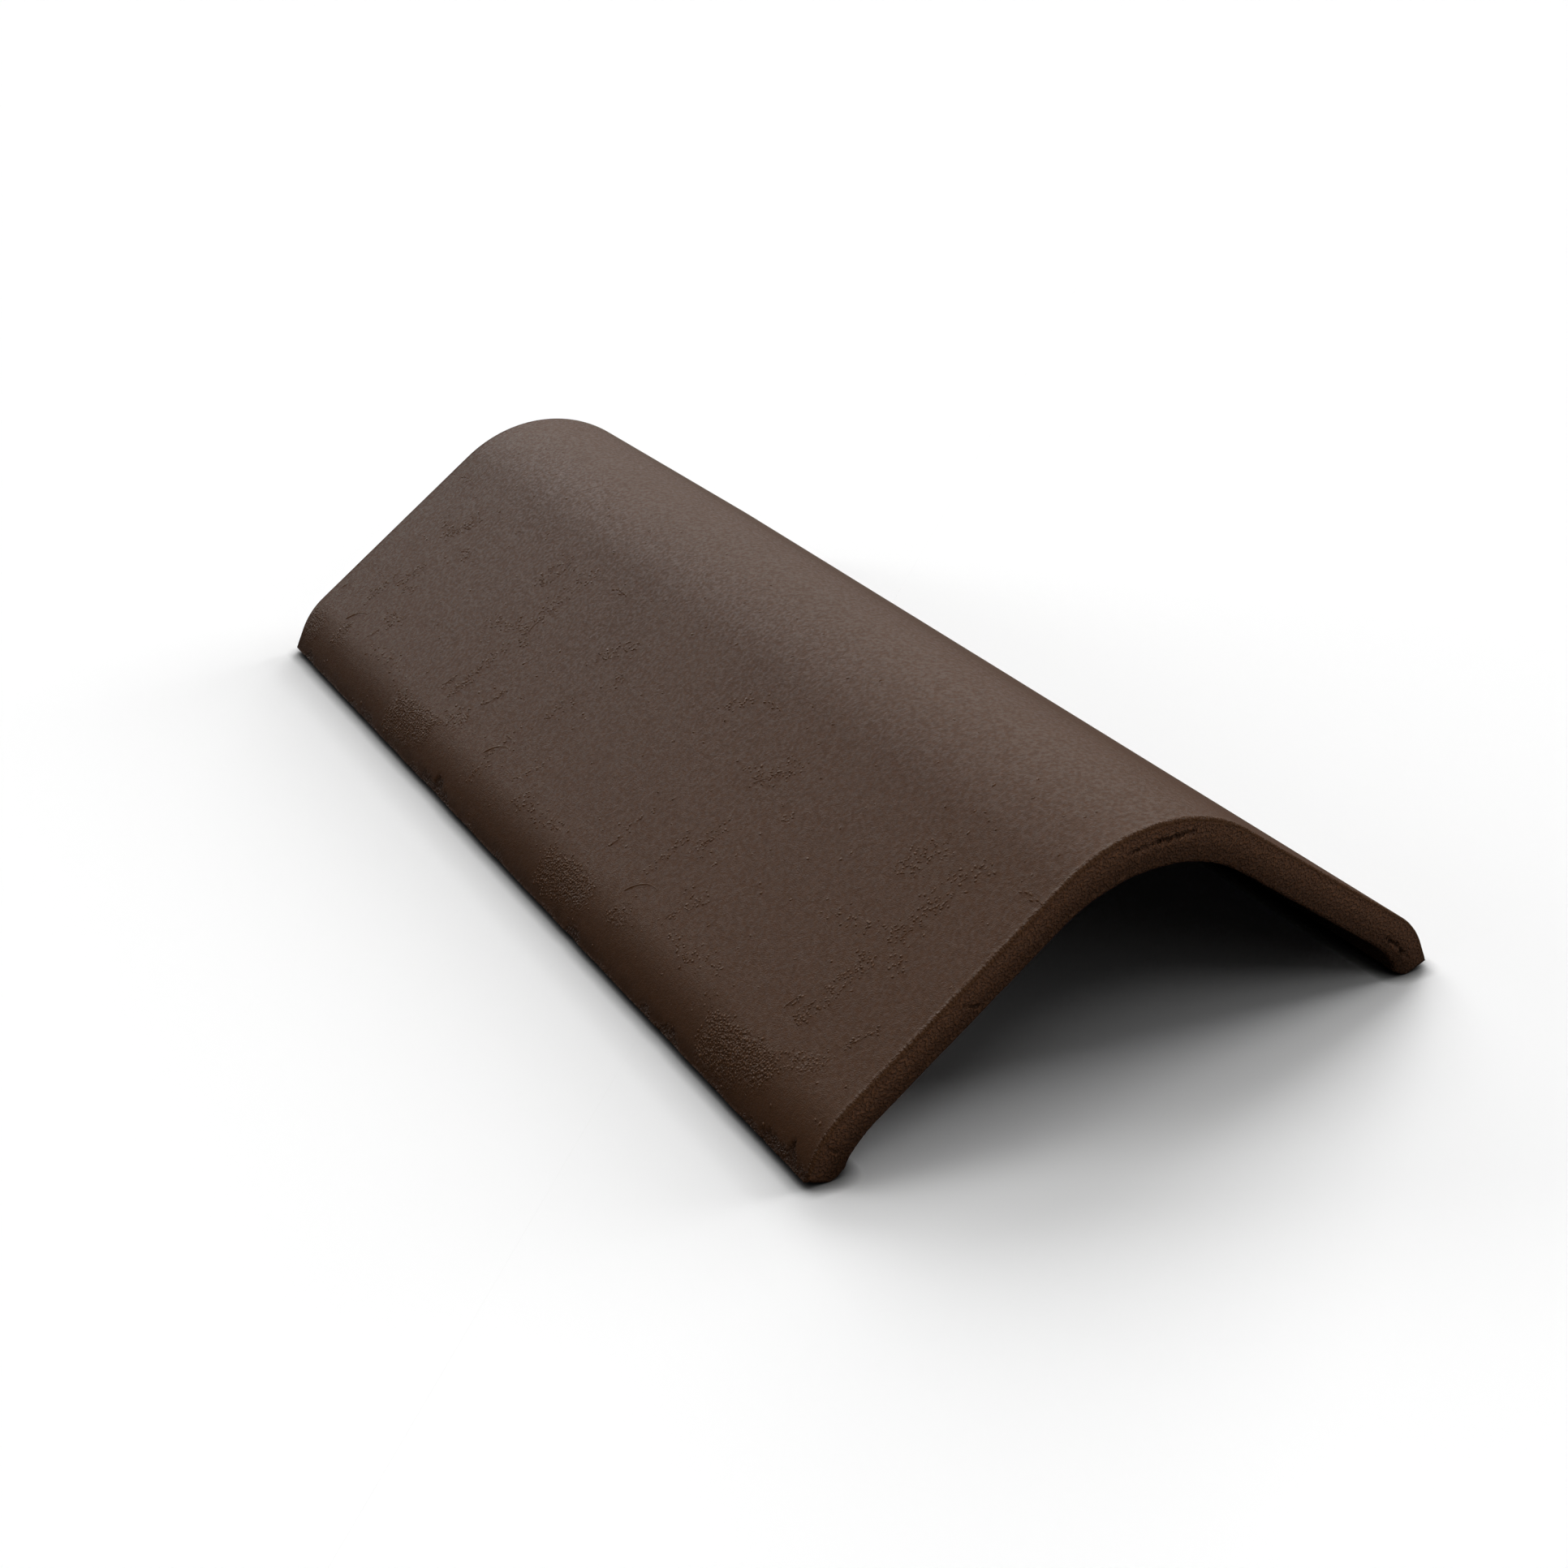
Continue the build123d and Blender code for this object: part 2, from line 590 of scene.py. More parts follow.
@dataclass(frozen=True)
class GradedSheet:
    """A grid of square cells that are small where detail is wanted and double in size away from it.

    The last column joins the first one.

    Attributes:
        columns: finest cells across.
        rows: finest cells along.
        deepest: how many times a cell may double.
    """

    columns: int
    rows: int
    deepest: int

    def merged(self, finer: np.ndarray) -> np.ndarray:
        """Blocks of two by two cells that may become one, with no block beside them divided twice over."""
        across, along = finer.shape
        padded = np.pad(finer, ((1, 1), (0, 0)), mode="wrap")
        padded = np.pad(padded, ((0, 0), (1, 1)), mode="edge")
        result = np.ones((across // 2, along // 2), bool)
        window = 4  # a block's two cells and one cell beside it on each side
        for i in range(window):
            for j in range(window):
                result &= padded[i : i + across : 2, j : j + along : 2][: across // 2, : along // 2]
        return result

    def faces(self, wanted: np.ndarray) -> tuple[list[tuple[int, ...]], np.ndarray]:
        """Cells of the sheet as faces over grid points.

        Args:
            wanted: the largest cell allowed at each of the finest cells, counted in finest cells.

        Returns:
            The faces, as positions in the second result, and the column and row of each point.
        """
        fits = [np.ones((self.columns, self.rows), bool)]
        for level in range(1, self.deepest + 1):
            block = 2**level
            coarse = wanted.reshape(self.columns // block, block, self.rows // block, block).min(axis=(1, 3))
            allowed = coarse >= block
            if level > 1:
                allowed &= self.merged(fits[-1])
            fits.append(allowed)
        polygons: list[list[tuple[int, int]]] = []
        for level in range(self.deepest + 1):
            polygons += self._level_cells(fits, level)
        keys: dict[tuple[int, int], int] = {}
        faces = []
        for polygon in polygons:
            corners = [(i % self.columns, j) for i, j in polygon]
            faces.append(tuple(keys.setdefault(corner, len(keys)) for corner in corners))
        return faces, np.array(list(keys))

    def _level_cells(self, fits: list[np.ndarray], level: int) -> list[list[tuple[int, int]]]:
        """The cells of one size, each as a square or as a fan round its middle beside smaller cells."""
        block = 2**level
        leaf = fits[level].copy()
        if level < self.deepest:
            parents = np.repeat(np.repeat(fits[level + 1], 2, axis=0), 2, axis=1)
            leaf &= ~parents
        across, along = fits[level].shape
        polygons = []
        for i, j in np.argwhere(leaf):
            x, y = int(i) * block, int(j) * block
            far_x, far_y = x + block, y + block
            half_x, half_y = x + block // 2, y + block // 2
            ring = [(x, y)]
            sides = (
                ((i, j - 1), (half_x, y), (far_x, y)),
                ((i + 1, j), (far_x, half_y), (far_x, far_y)),
                ((i, j + 1), (half_x, far_y), (x, far_y)),
                ((i - 1, j), (x, half_y), None),
            )
            for (beside_i, beside_j), middle, corner in sides:
                inside = 0 <= beside_j < along
                if level > 0 and inside and not fits[level][beside_i % across, beside_j]:
                    ring.append(middle)
                if corner is not None:
                    ring.append(corner)
            if len(ring) == 4:
                polygons.append(ring)
                continue
            for first, second in zip(ring, ring[1:] + ring[:1]):
                polygons.append([(half_x, half_y), first, second])
        return polygons


@dataclass(frozen=True)
class FootWear:
    """Wear, chips and painted shade of the lower outer edges of the feet. Lengths are in millimetres.

    Attributes:
        length: the tile's length.
        zone: how far up a foot the chips are looked for.
        worn_reach: least climb of the plain wear.
        worn_more: how much further it climbs at most.
        worn_size: size of the slow waves in its upper edge.
        worn_slice: where those waves are read in the noise.
        ragged_size: size of the fine waves in its upper edge.
        ragged_slice: where those waves are read in the noise.
        ragged_share: how far the fine waves move the edge, as a share of its climb.
        blunt: power that blunts the outline of a chip.
        worn_depth: depth of the plain wear.
        flare: how much longer a chip's hollow is than its outline.
        edge: climb past a chip's outline where its hollow ends and where the face is whole.
        bottom_step: climb that each cell across the foot's bottom counts for.
        pit_size: size of the crumbly pits, in metres.
        pit_shift: moves their pattern.
        even_share: share of the depth that is even.
        pit_share: share of the depth that the pits add or take.
        pit_middle: pit value that adds nothing.
        lump_share: share of the depth that the slow lumps add or take.
        chip_raw: how raw a chip is, from 0 to 1.
        chip_shade: painted shade in a chip's hollow, from 0 to 1.
        bottom_shade: painted shade on the foot's bottom, which faces the ground, from 0 to 1.
        foot_shade: painted shade on the lowest strip of the outer face, next to the ground, from 0 to 1.
        foot_fade: climb where that strip starts to fade and where it is gone.
        foot_sway: how far the slow lumps move its edge.
    """

    length: float
    zone: float = 16.0
    worn_reach: float = 0.5
    worn_more: float = 0.7
    worn_size: float = 9.0
    worn_slice: tuple[float, float] = (1.7, 3.3)
    ragged_size: float = 2.3
    ragged_slice: tuple[float, float] = (5.1, 0.4)
    ragged_share: float = 0.45
    blunt: float = 0.8
    worn_depth: float = 0.25
    flare: float = 1.3
    edge: tuple[float, float] = (-1.4, 0.7)
    bottom_step: float = 0.5
    pit_size: float = 1.6 * MM
    pit_shift: float = 2.0
    even_share: float = 0.65
    pit_share: float = 0.5
    pit_middle: float = 0.45
    lump_share: float = 0.3
    chip_raw: float = 0.55
    chip_shade: float = 0.58
    bottom_shade: float = 0.75
    foot_shade: float = 0.42
    foot_fade: tuple[float, float] = (0.5, 8.5)
    foot_sway: float = 2.0

    def along(self, y: np.ndarray, side: Side) -> np.ndarray:
        """Distances from the end where a foot's pattern starts, for distances from the front end."""
        return y if side is Side.LEFT else self.length - y

    def hump(self, along: np.ndarray, chip: Chip, turn: int, flare: float = 1.0) -> np.ndarray:
        """A chip's rounded outline: 1 at its middle, and 0 from its ends on."""
        offset = (along - chip.along - turn * PATTERN_REPEAT) / (flare * chip.half_length)
        return np.clip(1.0 - offset**2, 0.0, 1.0)

    def reach(self, y: np.ndarray, side: Side) -> np.ndarray:
        """How far wear and chips climb a foot, at distances from the front end."""
        along = self.along(y, side)
        ragged = np.array([noise.noise(Vector((v / self.ragged_size, *self.ragged_slice))) for v in along])
        worn = np.array([noise.noise(Vector((v / self.worn_size, *self.worn_slice))) for v in along])
        reach = self.worn_reach + self.worn_more * np.clip(worn, 0.0, 1.0)
        for chip in CHIPS:
            for turn in range(PATTERN_TURNS):
                reach = np.maximum(reach, chip.reach * self.hump(along, chip, turn) ** self.blunt)
        return reach * (1.0 + self.ragged_share * ragged)

    def depth(self, y: np.ndarray, side: Side) -> np.ndarray:
        """How deep wear and chips are, at distances from the front end."""
        along = self.along(y, side)
        depth = np.full(len(along), self.worn_depth)
        for chip in CHIPS:
            for turn in range(PATTERN_TURNS):
                depth = np.maximum(depth, chip.depth * self.hump(along, chip, turn, self.flare))
        return depth


@dataclass(frozen=True)
class RawRelief:
    """Lumps and painted shade of the raw concrete. Heights are in millimetres.

    Attributes:
        bottom_raw: how raw the bottoms of the feet are, from 0 to 1.
        lump_size: size of the slow lumps, in metres.
        lump_shift: moves their pattern.
        lump_height: height of the lumps on the inside.
        lump_sink: how far the lumps lie below the true inside.
        ground_clear: height above the ground from which the lumps are whole.
        wall_shade: painted shade, how much darker the inner side of the wall is than the outer one, from 0 to
            1.
        wall_fade: places through the wall where the darkness starts and where it is whole.
        ground_light: share of the colour that the painted shade leaves at the ground.
        ground_fade: height above the ground from which no painted shade falls.
    """

    bottom_raw: float = 0.3
    lump_size: float = 7.0 * MM
    lump_shift: float = 3.0
    lump_height: float = 0.15
    lump_sink: float = 0.20
    ground_clear: float = 6.0
    wall_shade: float = 0.58
    wall_fade: tuple[float, float] = (0.1, 1.0)
    ground_light: float = 0.60
    ground_fade: float = 20.0

    def painted_shade_at(self, through: np.ndarray, z: np.ndarray) -> np.ndarray:
        """Painted shade on a raw face: how much darker it is than its outer rim, from 0 to 1.

        Args:
            through: place through the wall, from 0 at the outer face to 1 at the inner one.
            z: height above the ground, in millimetres.

        Returns:
            The painted shade: it grows towards the inner face and towards the ground.
        """
        # Painted shade: darker towards the inner side of the wall and towards the ground
        open_wall = 1.0 - self.wall_shade * smooth_step(*self.wall_fade, through)
        lost = 1.0 - self.ground_light
        above_ground = self.ground_light + lost * smooth_step(0.0, self.ground_fade, z)
        return 1.0 - open_wall * above_ground


@dataclass(frozen=True)
class EndRelief:
    """Wrinkles and tears of a cut end, with painted shade and highlight. Depths and heights are in
    millimetres.

    Attributes:
        squeeze: how much the wrinkles' pattern is squeezed across the tile, up and along it.
        leather_size: size of the fine wrinkles, in metres.
        leather_shift: moves their pattern.
        leather_depth: half of their depth.
        wave_size: size of the slow waves, in metres.
        wave_shift: moves their pattern.
        wave_depth: half of their depth.
        margin: cells from the rim to where the relief is whole.
        wander_size: size of the waves in the tears, in metres.
        wander_shift: moves their pattern.
        groove_rise: how far a tear's groove lies above its line, in half widths.
        lip_fall: how far its lip lies below the line, in half widths.
        bank: where a groove or lip starts to fade and where it ends, in half widths.
        lip_height: height of a lip, as a share of its tear's depth.
        groove_shade: painted shade in a tear's groove, for each millimetre of its depth.
        lip_highlight: painted highlight on its lip, in the same way.
        darkest: greatest painted shade on the end face.
    """

    squeeze: tuple[float, float, float] = (0.6, 1.0, 1.0)
    leather_size: float = 1.1 * MM
    leather_shift: float = 4.0
    leather_depth: float = 0.12
    wave_size: float = 6.0 * MM
    wave_shift: float = 8.0
    wave_depth: float = 0.12
    margin: int = 3
    wander_size: float = 2.6 * MM
    wander_shift: float = 30.0
    groove_rise: float = 0.5
    lip_fall: float = 0.7
    bank: tuple[float, float] = (0.2, 1.0)
    lip_height: float = 0.5
    groove_shade: float = 0.75
    lip_highlight: float = 0.45
    darkest: float = 0.9

    def wrinkles(self, own: np.ndarray, end: End) -> np.ndarray:
        """Depth of the wrinkles and slow waves at points of a cut end."""
        leather = noise_field(own * self.squeeze, self.leather_size, 1, self.leather_shift + end.value)
        waves = noise_field(own, self.wave_size, 2, self.wave_shift + end.value)
        return self.leather_depth * (leather + 1.0) + self.wave_depth * (waves + 1.0)

    def marks(self, own: np.ndarray, end: End) -> tuple[np.ndarray, np.ndarray]:
        """Depth of the tears at points of a cut end, and the strength of the lip below each."""
        x = own[:, 0] * PER_METRE * -end.value
        z = own[:, 2] * PER_METRE
        wander = noise_field(own, self.wander_size, 2, self.wander_shift)
        grooves = np.zeros(len(own))
        lips = np.zeros(len(own))
        for tear in END_TEARS:
            run_x, run_z = tear.stop[0] - tear.start[0], tear.stop[1] - tear.start[1]
            off_x, off_z = x - tear.start[0], z - tear.start[1]
            t = np.clip((off_x * run_x + off_z * run_z) / (run_x**2 + run_z**2), 0.0, 1.0)
            rise = off_z - t * run_z + tear.waver * wander
            sideways = off_x - t * run_x
            groove = np.hypot(sideways, rise - self.groove_rise * tear.half_width) / tear.half_width
            lip = np.hypot(sideways, rise + self.lip_fall * tear.half_width) / tear.half_width
            grooves = np.maximum(grooves, tear.deep * (1.0 - smooth_step(*self.bank, groove)))
            lips = np.maximum(lips, tear.deep * (1.0 - smooth_step(*self.bank, lip)))
        return grooves, lips


@dataclass(frozen=True)
class TileBody:
    """The whole tile as one closed mesh with worn edges, chips and coarse ends.

    Attributes:
        section: the tile's section and length.
        across: finest cells from foot to foot.
        through: finest cells through the wall.
        along: finest cells from end to end.
        deepest: how many times a cell may double in plain areas.
        inner_cell: largest cell on the inside, counted in finest cells.
        outer_cell: the same on the outer face.
        foot_cell: the same near and below a foot.
        foot_band: how far up a foot its smaller cells reach, in millimetres.
        chip_margin: how far past a chip the finest cells reach, in millimetres.
        least_chip: climb of the smallest chip that takes the finest cells, in millimetres.
        end_band: rows of the finest cells beside each end.
        rim_rows: rows of cells that round the rim of each end.
        rim_mark: how far the rim's nubs run on the outer face, as a share of rim_rows.
        end_mark: how far they run on the end face, in cells.
        outer_rim: radius of the worn rim between an end and the outer face.
        inner_rim: radius of the rim between an end and the inner face.
        sharp: least angle between two faces that stay sharp.
        raw: relief and darkness of the raw faces.
        cut: relief of the cut ends.
    """

    section: Section
    across: int = 512
    through: int = 24
    along: int = 752
    deepest: int = 3
    inner_cell: int = 8
    outer_cell: int = 4
    foot_cell: int = 2
    foot_band: float = 12.0
    chip_margin: float = 2.0
    least_chip: float = 2.5
    end_band: int = 8
    rim_rows: int = 3
    rim_mark: float = 1.5
    end_mark: float = 2.0
    outer_rim: float = 0.9 * MM
    inner_rim: float = 1.5 * MM
    sharp: float = math.radians(50.0)
    raw: RawRelief = RawRelief()
    cut: EndRelief = EndRelief()

    def wear(self) -> FootWear:
        """The wear of the feet."""
        return FootWear(PER_METRE * self.section.length)

    def end_grid(self) -> np.ndarray:
        """The end face's points, first by u and then by w, as X and Z."""
        outer, inner, left, right = self.section.sides()
        top = spread_along(outer, self.across)[:, None, :]
        low = spread_along(inner, self.across)[:, None, :]
        start = spread_along(left, self.through)[None, :, :]
        stop = spread_along(right, self.through)[None, :, :]
        u = np.linspace(0.0, 1.0, self.across + 1)[:, None, None]
        w = np.linspace(0.0, 1.0, self.through + 1)[None, :, None]
        sheet = (1.0 - w) * top + w * low + (1.0 - u) * start + u * stop
        sheet -= (1.0 - u) * (1.0 - w) * top[:1] + u * (1.0 - w) * top[-1:]
        sheet -= (1.0 - u) * w * low[:1] + u * w * low[-1:]
        return sheet

    def ring_index(self) -> np.ndarray:
        """Columns of the end grid's rim, in order round the section from the left outer corner."""
        n, m = self.across, self.through
        outer = [(a, 0) for a in range(n)]
        right = [(n, b) for b in range(m)]
        inner = [(n - a, m) for a in range(n)]
        left = [(0, m - b) for b in range(m)]
        return np.array(outer + right + inner + left)

    def wanted_cells(self, ring: np.ndarray) -> np.ndarray:
        """The largest cell allowed at each place round the section and along the tile."""
        wear = self.wear()
        count = len(ring)
        wanted = np.full((count, self.along), self.inner_cell)
        outer_step = PER_METRE * self.section.outer_length() / self.across
        place = np.arange(count)
        up = {Side.LEFT: place * outer_step, Side.RIGHT: (self.across - place) * outer_step}
        on_outer = place < self.across
        from_foot = np.where(on_outer, np.minimum(up[Side.LEFT], up[Side.RIGHT]), np.inf)
        wanted[on_outer & (from_foot > self.foot_band)] = self.outer_cell
        on_bottom = (ring[:, 0] == 0) | (ring[:, 0] == self.across)
        wanted[(from_foot <= self.foot_band) | on_bottom] = self.foot_cell
        y = np.linspace(0.0, wear.length, self.along)
        for side in Side:
            reach = wear.reach(y, side)[None, :]
            near = up[side][:, None] < reach + self.chip_margin
            wanted[on_outer[:, None] & near & (reach > self.least_chip)] = 1
        wanted[:, : self.end_band] = 1
        wanted[:, -self.end_band :] = 1
        return wanted

    def build(self) -> bpy.types.Object:
        """Makes the tile's mesh with its relief, its sharp edges and the attributes that its finish reads."""
        grid = self.end_grid()
        ring = self.ring_index()
        sheet = GradedSheet(len(ring), self.along, self.deepest)
        faces, points = sheet.faces(self.wanted_cells(ring))
        column, row = points[:, 0], points[:, 1]
        a, b = ring[column, 0], ring[column, 1]
        count = len(points)

        # Where each side point lies on the section, and how far it is drawn in over the rim
        rim = np.where(b == 0, self.outer_rim, self.inner_rim)
        rim = np.where((a == 0) | (a == self.across), self.outer_rim, rim)
        from_end = np.minimum(row, self.along - row)
        angle = np.clip(from_end / self.rim_rows, 0.0, 1.0) * math.pi / 2.0
        inset = rim * (1.0 - np.sin(angle))
        straight = (self.section.length - 2.0 * rim) / (self.along - 2 * self.rim_rows)
        over_rim = rim * (1.0 - np.cos(angle)) + np.maximum(from_end - self.rim_rows, 0) * straight
        from_front = np.where(row * 2 <= self.along, over_rim, self.section.length - over_rim)
        y = from_front - self.section.length / 2.0
        flat = self._drawn_in(grid, a, b, inset)
        place = np.stack([flat[:, 0], y, flat[:, 1]], axis=1)
        normal = self._section_normals(grid, ring)[column]
        outward = np.stack([normal[:, 0], np.zeros(count), normal[:, 1]], axis=1)

        # The third result is each point's painted shade, which the finish reads
        raw, height, painted_shade, nubs = self._side_relief(place, a, b)
        place = place + outward * height[:, None]
        rim_height = np.clip(self.rim_mark - from_end / self.rim_rows, 0.0, 1.0) * (b == 0)

        parts = {
            "place": [place],
            "raw": [raw],
            "rim": [rim_height],
            "girth": [a * self.section.outer_length() / self.across],
            "painted_shade": [painted_shade],
            "nubs": [nubs],
        }
        start = count
        for end in End:
            end_faces, end_places, end_cells, end_shade = self._build_end(end, grid, ring, points, place)
            faces += [tuple(v if v < count else v - count + start for v in face) for face in end_faces]
            parts["place"].append(end_places)
            parts["raw"].append(np.ones(len(end_places)))
            parts["rim"].append(np.clip(1.0 - end_cells[:, 1] / self.end_mark, 0.0, 1.0))
            parts["girth"].append(end_cells[:, 0] * self.section.outer_length() / self.across)
            parts["painted_shade"].append(end_shade)
            parts["nubs"].append(np.zeros(len(end_places)))
            start += len(end_places)

        places = np.clip(np.concatenate(parts.pop("place")), *cad_bounds)
        mesh = bpy.data.meshes.new("ridge_tile_body")
        mesh.from_pydata(places.tolist(), [], faces)
        for name, values in parts.items():
            add_layer(mesh, name, np.concatenate(values))
        mesh.polygons.foreach_set("use_smooth", [True] * len(mesh.polygons))
        mesh.set_sharp_from_angle(angle=self.sharp)
        mesh.validate()
        body = bpy.data.objects.new("ridge_tile_body", mesh)
        bpy.context.scene.collection.objects.link(body)
        return body

    def _drawn_in(self, grid: np.ndarray, a: np.ndarray, b: np.ndarray, inset: np.ndarray) -> np.ndarray:
        """Points of the rim drawn in towards the middle of the wall by an inset in metres."""
        per_u = inset / (self.section.outer_length() / self.across)
        per_w = inset / (self.section.wall / self.through)
        u = np.clip(a.astype(float), per_u, self.across - per_u)
        w = np.clip(b.astype(float), per_w, self.through - per_w)
        return between(grid, u, w)

    def _section_normals(self, grid: np.ndarray, ring: np.ndarray) -> np.ndarray:
        """Outward direction at each place round the section."""
        path = grid[ring[:, 0], ring[:, 1]]
        tangent = np.roll(path, -1, axis=0) - np.roll(path, 1, axis=0)
        tangent /= np.linalg.norm(tangent, axis=1)[:, None]
        return np.stack([-tangent[:, 1], tangent[:, 0]], axis=1)

    def _side_relief(
        self, place: np.ndarray, a: np.ndarray, b: np.ndarray
    ) -> tuple[np.ndarray, np.ndarray, np.ndarray, np.ndarray]:
        """Rawness, height, painted shade and nubs of the points round the section.

        Args:
            place: the smooth points.
            a: their columns across the end grid.
            b: their rows through the wall.

        Returns:
            Rawness from 0 to 1, height along the outward direction in metres, painted shade from 0 to 1, and
            how thick the leathery nubs lie, from 0 to 1.
        """
        wear = self.wear()
        step = PER_METRE * self.section.outer_length() / self.across
        y = PER_METRE * (place[:, 1] + self.section.length / 2.0)
        z = PER_METRE * place[:, 2]
        outer = b == 0
        inner = b == self.through
        raw = np.where(outer, 0.0, np.where(inner, 1.0, self.raw.bottom_raw))
        rough = noise_field(place, self.raw.lump_size, 2, self.raw.lump_shift)
        off_ground = smooth_step(0.0, self.raw.ground_clear, z)
        lumps = (self.raw.lump_height * rough - self.raw.lump_sink) * off_ground
        height = np.where(outer, outer_sink(place) / MM, lumps)
        pits = cell_field(place, wear.pit_size, wear.pit_shift)
        # Painted shade on the raw faces, none on the outer face
        painted_shade = np.where(outer, 0.0, self.raw.painted_shade_at(b / self.through, z))
        nubs = np.zeros(len(place))
        for side in Side:
            foot_a = 0 if side is Side.LEFT else self.across
            up = np.abs(a - foot_a) * step
            nubs = np.maximum(nubs, crowding(PATCHES, wear.along(y, side), up) * outer)
            # Painted shade on the lowest strip of the outer face, next to the ground
            low_foot = 1.0 - smooth_step(*wear.foot_fade, up + wear.foot_sway * rough)
            painted_shade = np.maximum(painted_shade, wear.foot_shade * low_foot * outer)
            near = outer & (up < wear.zone)
            foot = ~inner & ~outer & (a == foot_a)
            chosen = near | foot
            climb = np.where(near, up, b * wear.bottom_step)[chosen]
            broken = 1.0 - smooth_step(*wear.edge, climb - wear.reach(y[chosen], side))
            crumbly = wear.even_share + wear.pit_share * (pits[chosen] - wear.pit_middle)
            crumbly = crumbly + wear.lump_share * rough[chosen]
            height[chosen] -= broken * wear.depth(y[chosen], side) * crumbly
            raw[chosen] = np.maximum(raw[chosen], wear.chip_raw * broken)
            # Painted shade in the chips' hollows and on the feet's bottoms
            edge_shade = np.where(near[chosen], wear.chip_shade * broken, wear.bottom_shade)
            painted_shade[chosen] = np.maximum(painted_shade[chosen], edge_shade)
        return raw, height * MM, painted_shade, nubs

    def _build_end(
        self, end: End, grid: np.ndarray, ring: np.ndarray, points: np.ndarray, place: np.ndarray
    ) -> tuple[list[tuple[int, ...]], np.ndarray, np.ndarray, np.ndarray]:
        """One cut end: a grid inside the rim that shares the rim's points with the sides.

        Args:
            end: which end.
            grid: the end grid's points.
            ring: the end grid's rim in order.
            points: column and row of each side point.
            place: the finished side points.

        Returns:
            Faces over the side points followed by the end's own, the end's own points, their columns and
            rows, and their painted shade.
        """
        row = 0 if end is End.FRONT else self.along
        n, m = self.across, self.through
        index = np.full((n + 1, m + 1), -1)
        on_row = np.flatnonzero(points[:, 1] == row)
        rim = ring[points[on_row, 0]]
        index[rim[:, 0], rim[:, 1]] = on_row
        inside = np.argwhere(index[1:n, 1:m] < 0) + 1
        index[inside[:, 0], inside[:, 1]] = len(place) + np.arange(len(inside))
        shrink_u = self.outer_rim / (self.section.outer_length() / n)
        low_w = self.outer_rim / (self.section.wall / m)
        high_w = m - self.inner_rim / (self.section.wall / m)
        u = shrink_u + inside[:, 0] * (n - 2.0 * shrink_u) / n
        w = low_w + inside[:, 1] * (high_w - low_w) / m
        flat = between(grid, u, w)
        y = np.full(len(flat), end.value * self.section.length / 2.0)
        own = np.stack([flat[:, 0], y, flat[:, 1]], axis=1)
        edge = np.minimum(np.minimum(inside[:, 1], m - inside[:, 1]), self.cut.margin) / self.cut.margin
        groove, lip = self.cut.marks(own, end)
        sunk = self.cut.wrinkles(own, end) + groove - self.cut.lip_height * lip
        own[:, 1] -= end.value * np.maximum(sunk, 0.0) * edge * MM
        # Painted shade on the cut end, deeper in the tears' grooves and lifted on their lips as a painted
        # highlight
        painted_shade = self.raw.painted_shade_at(inside[:, 1] / m, own[:, 2] / MM)
        painted_shade = np.clip(painted_shade + self.cut.groove_shade * groove - self.cut.lip_highlight * lip, 0.0, self.cut.darkest)
        a, b = np.meshgrid(np.arange(n), np.arange(m), indexing="ij")
        corners = [index[a, b], index[a + 1, b], index[a + 1, b + 1], index[a, b + 1]]
        if end is End.FRONT:
            corners.reverse()
        quads = np.stack([c.ravel() for c in corners], axis=1)
        return [tuple(quad) for quad in quads.tolist()], own, inside, painted_shade


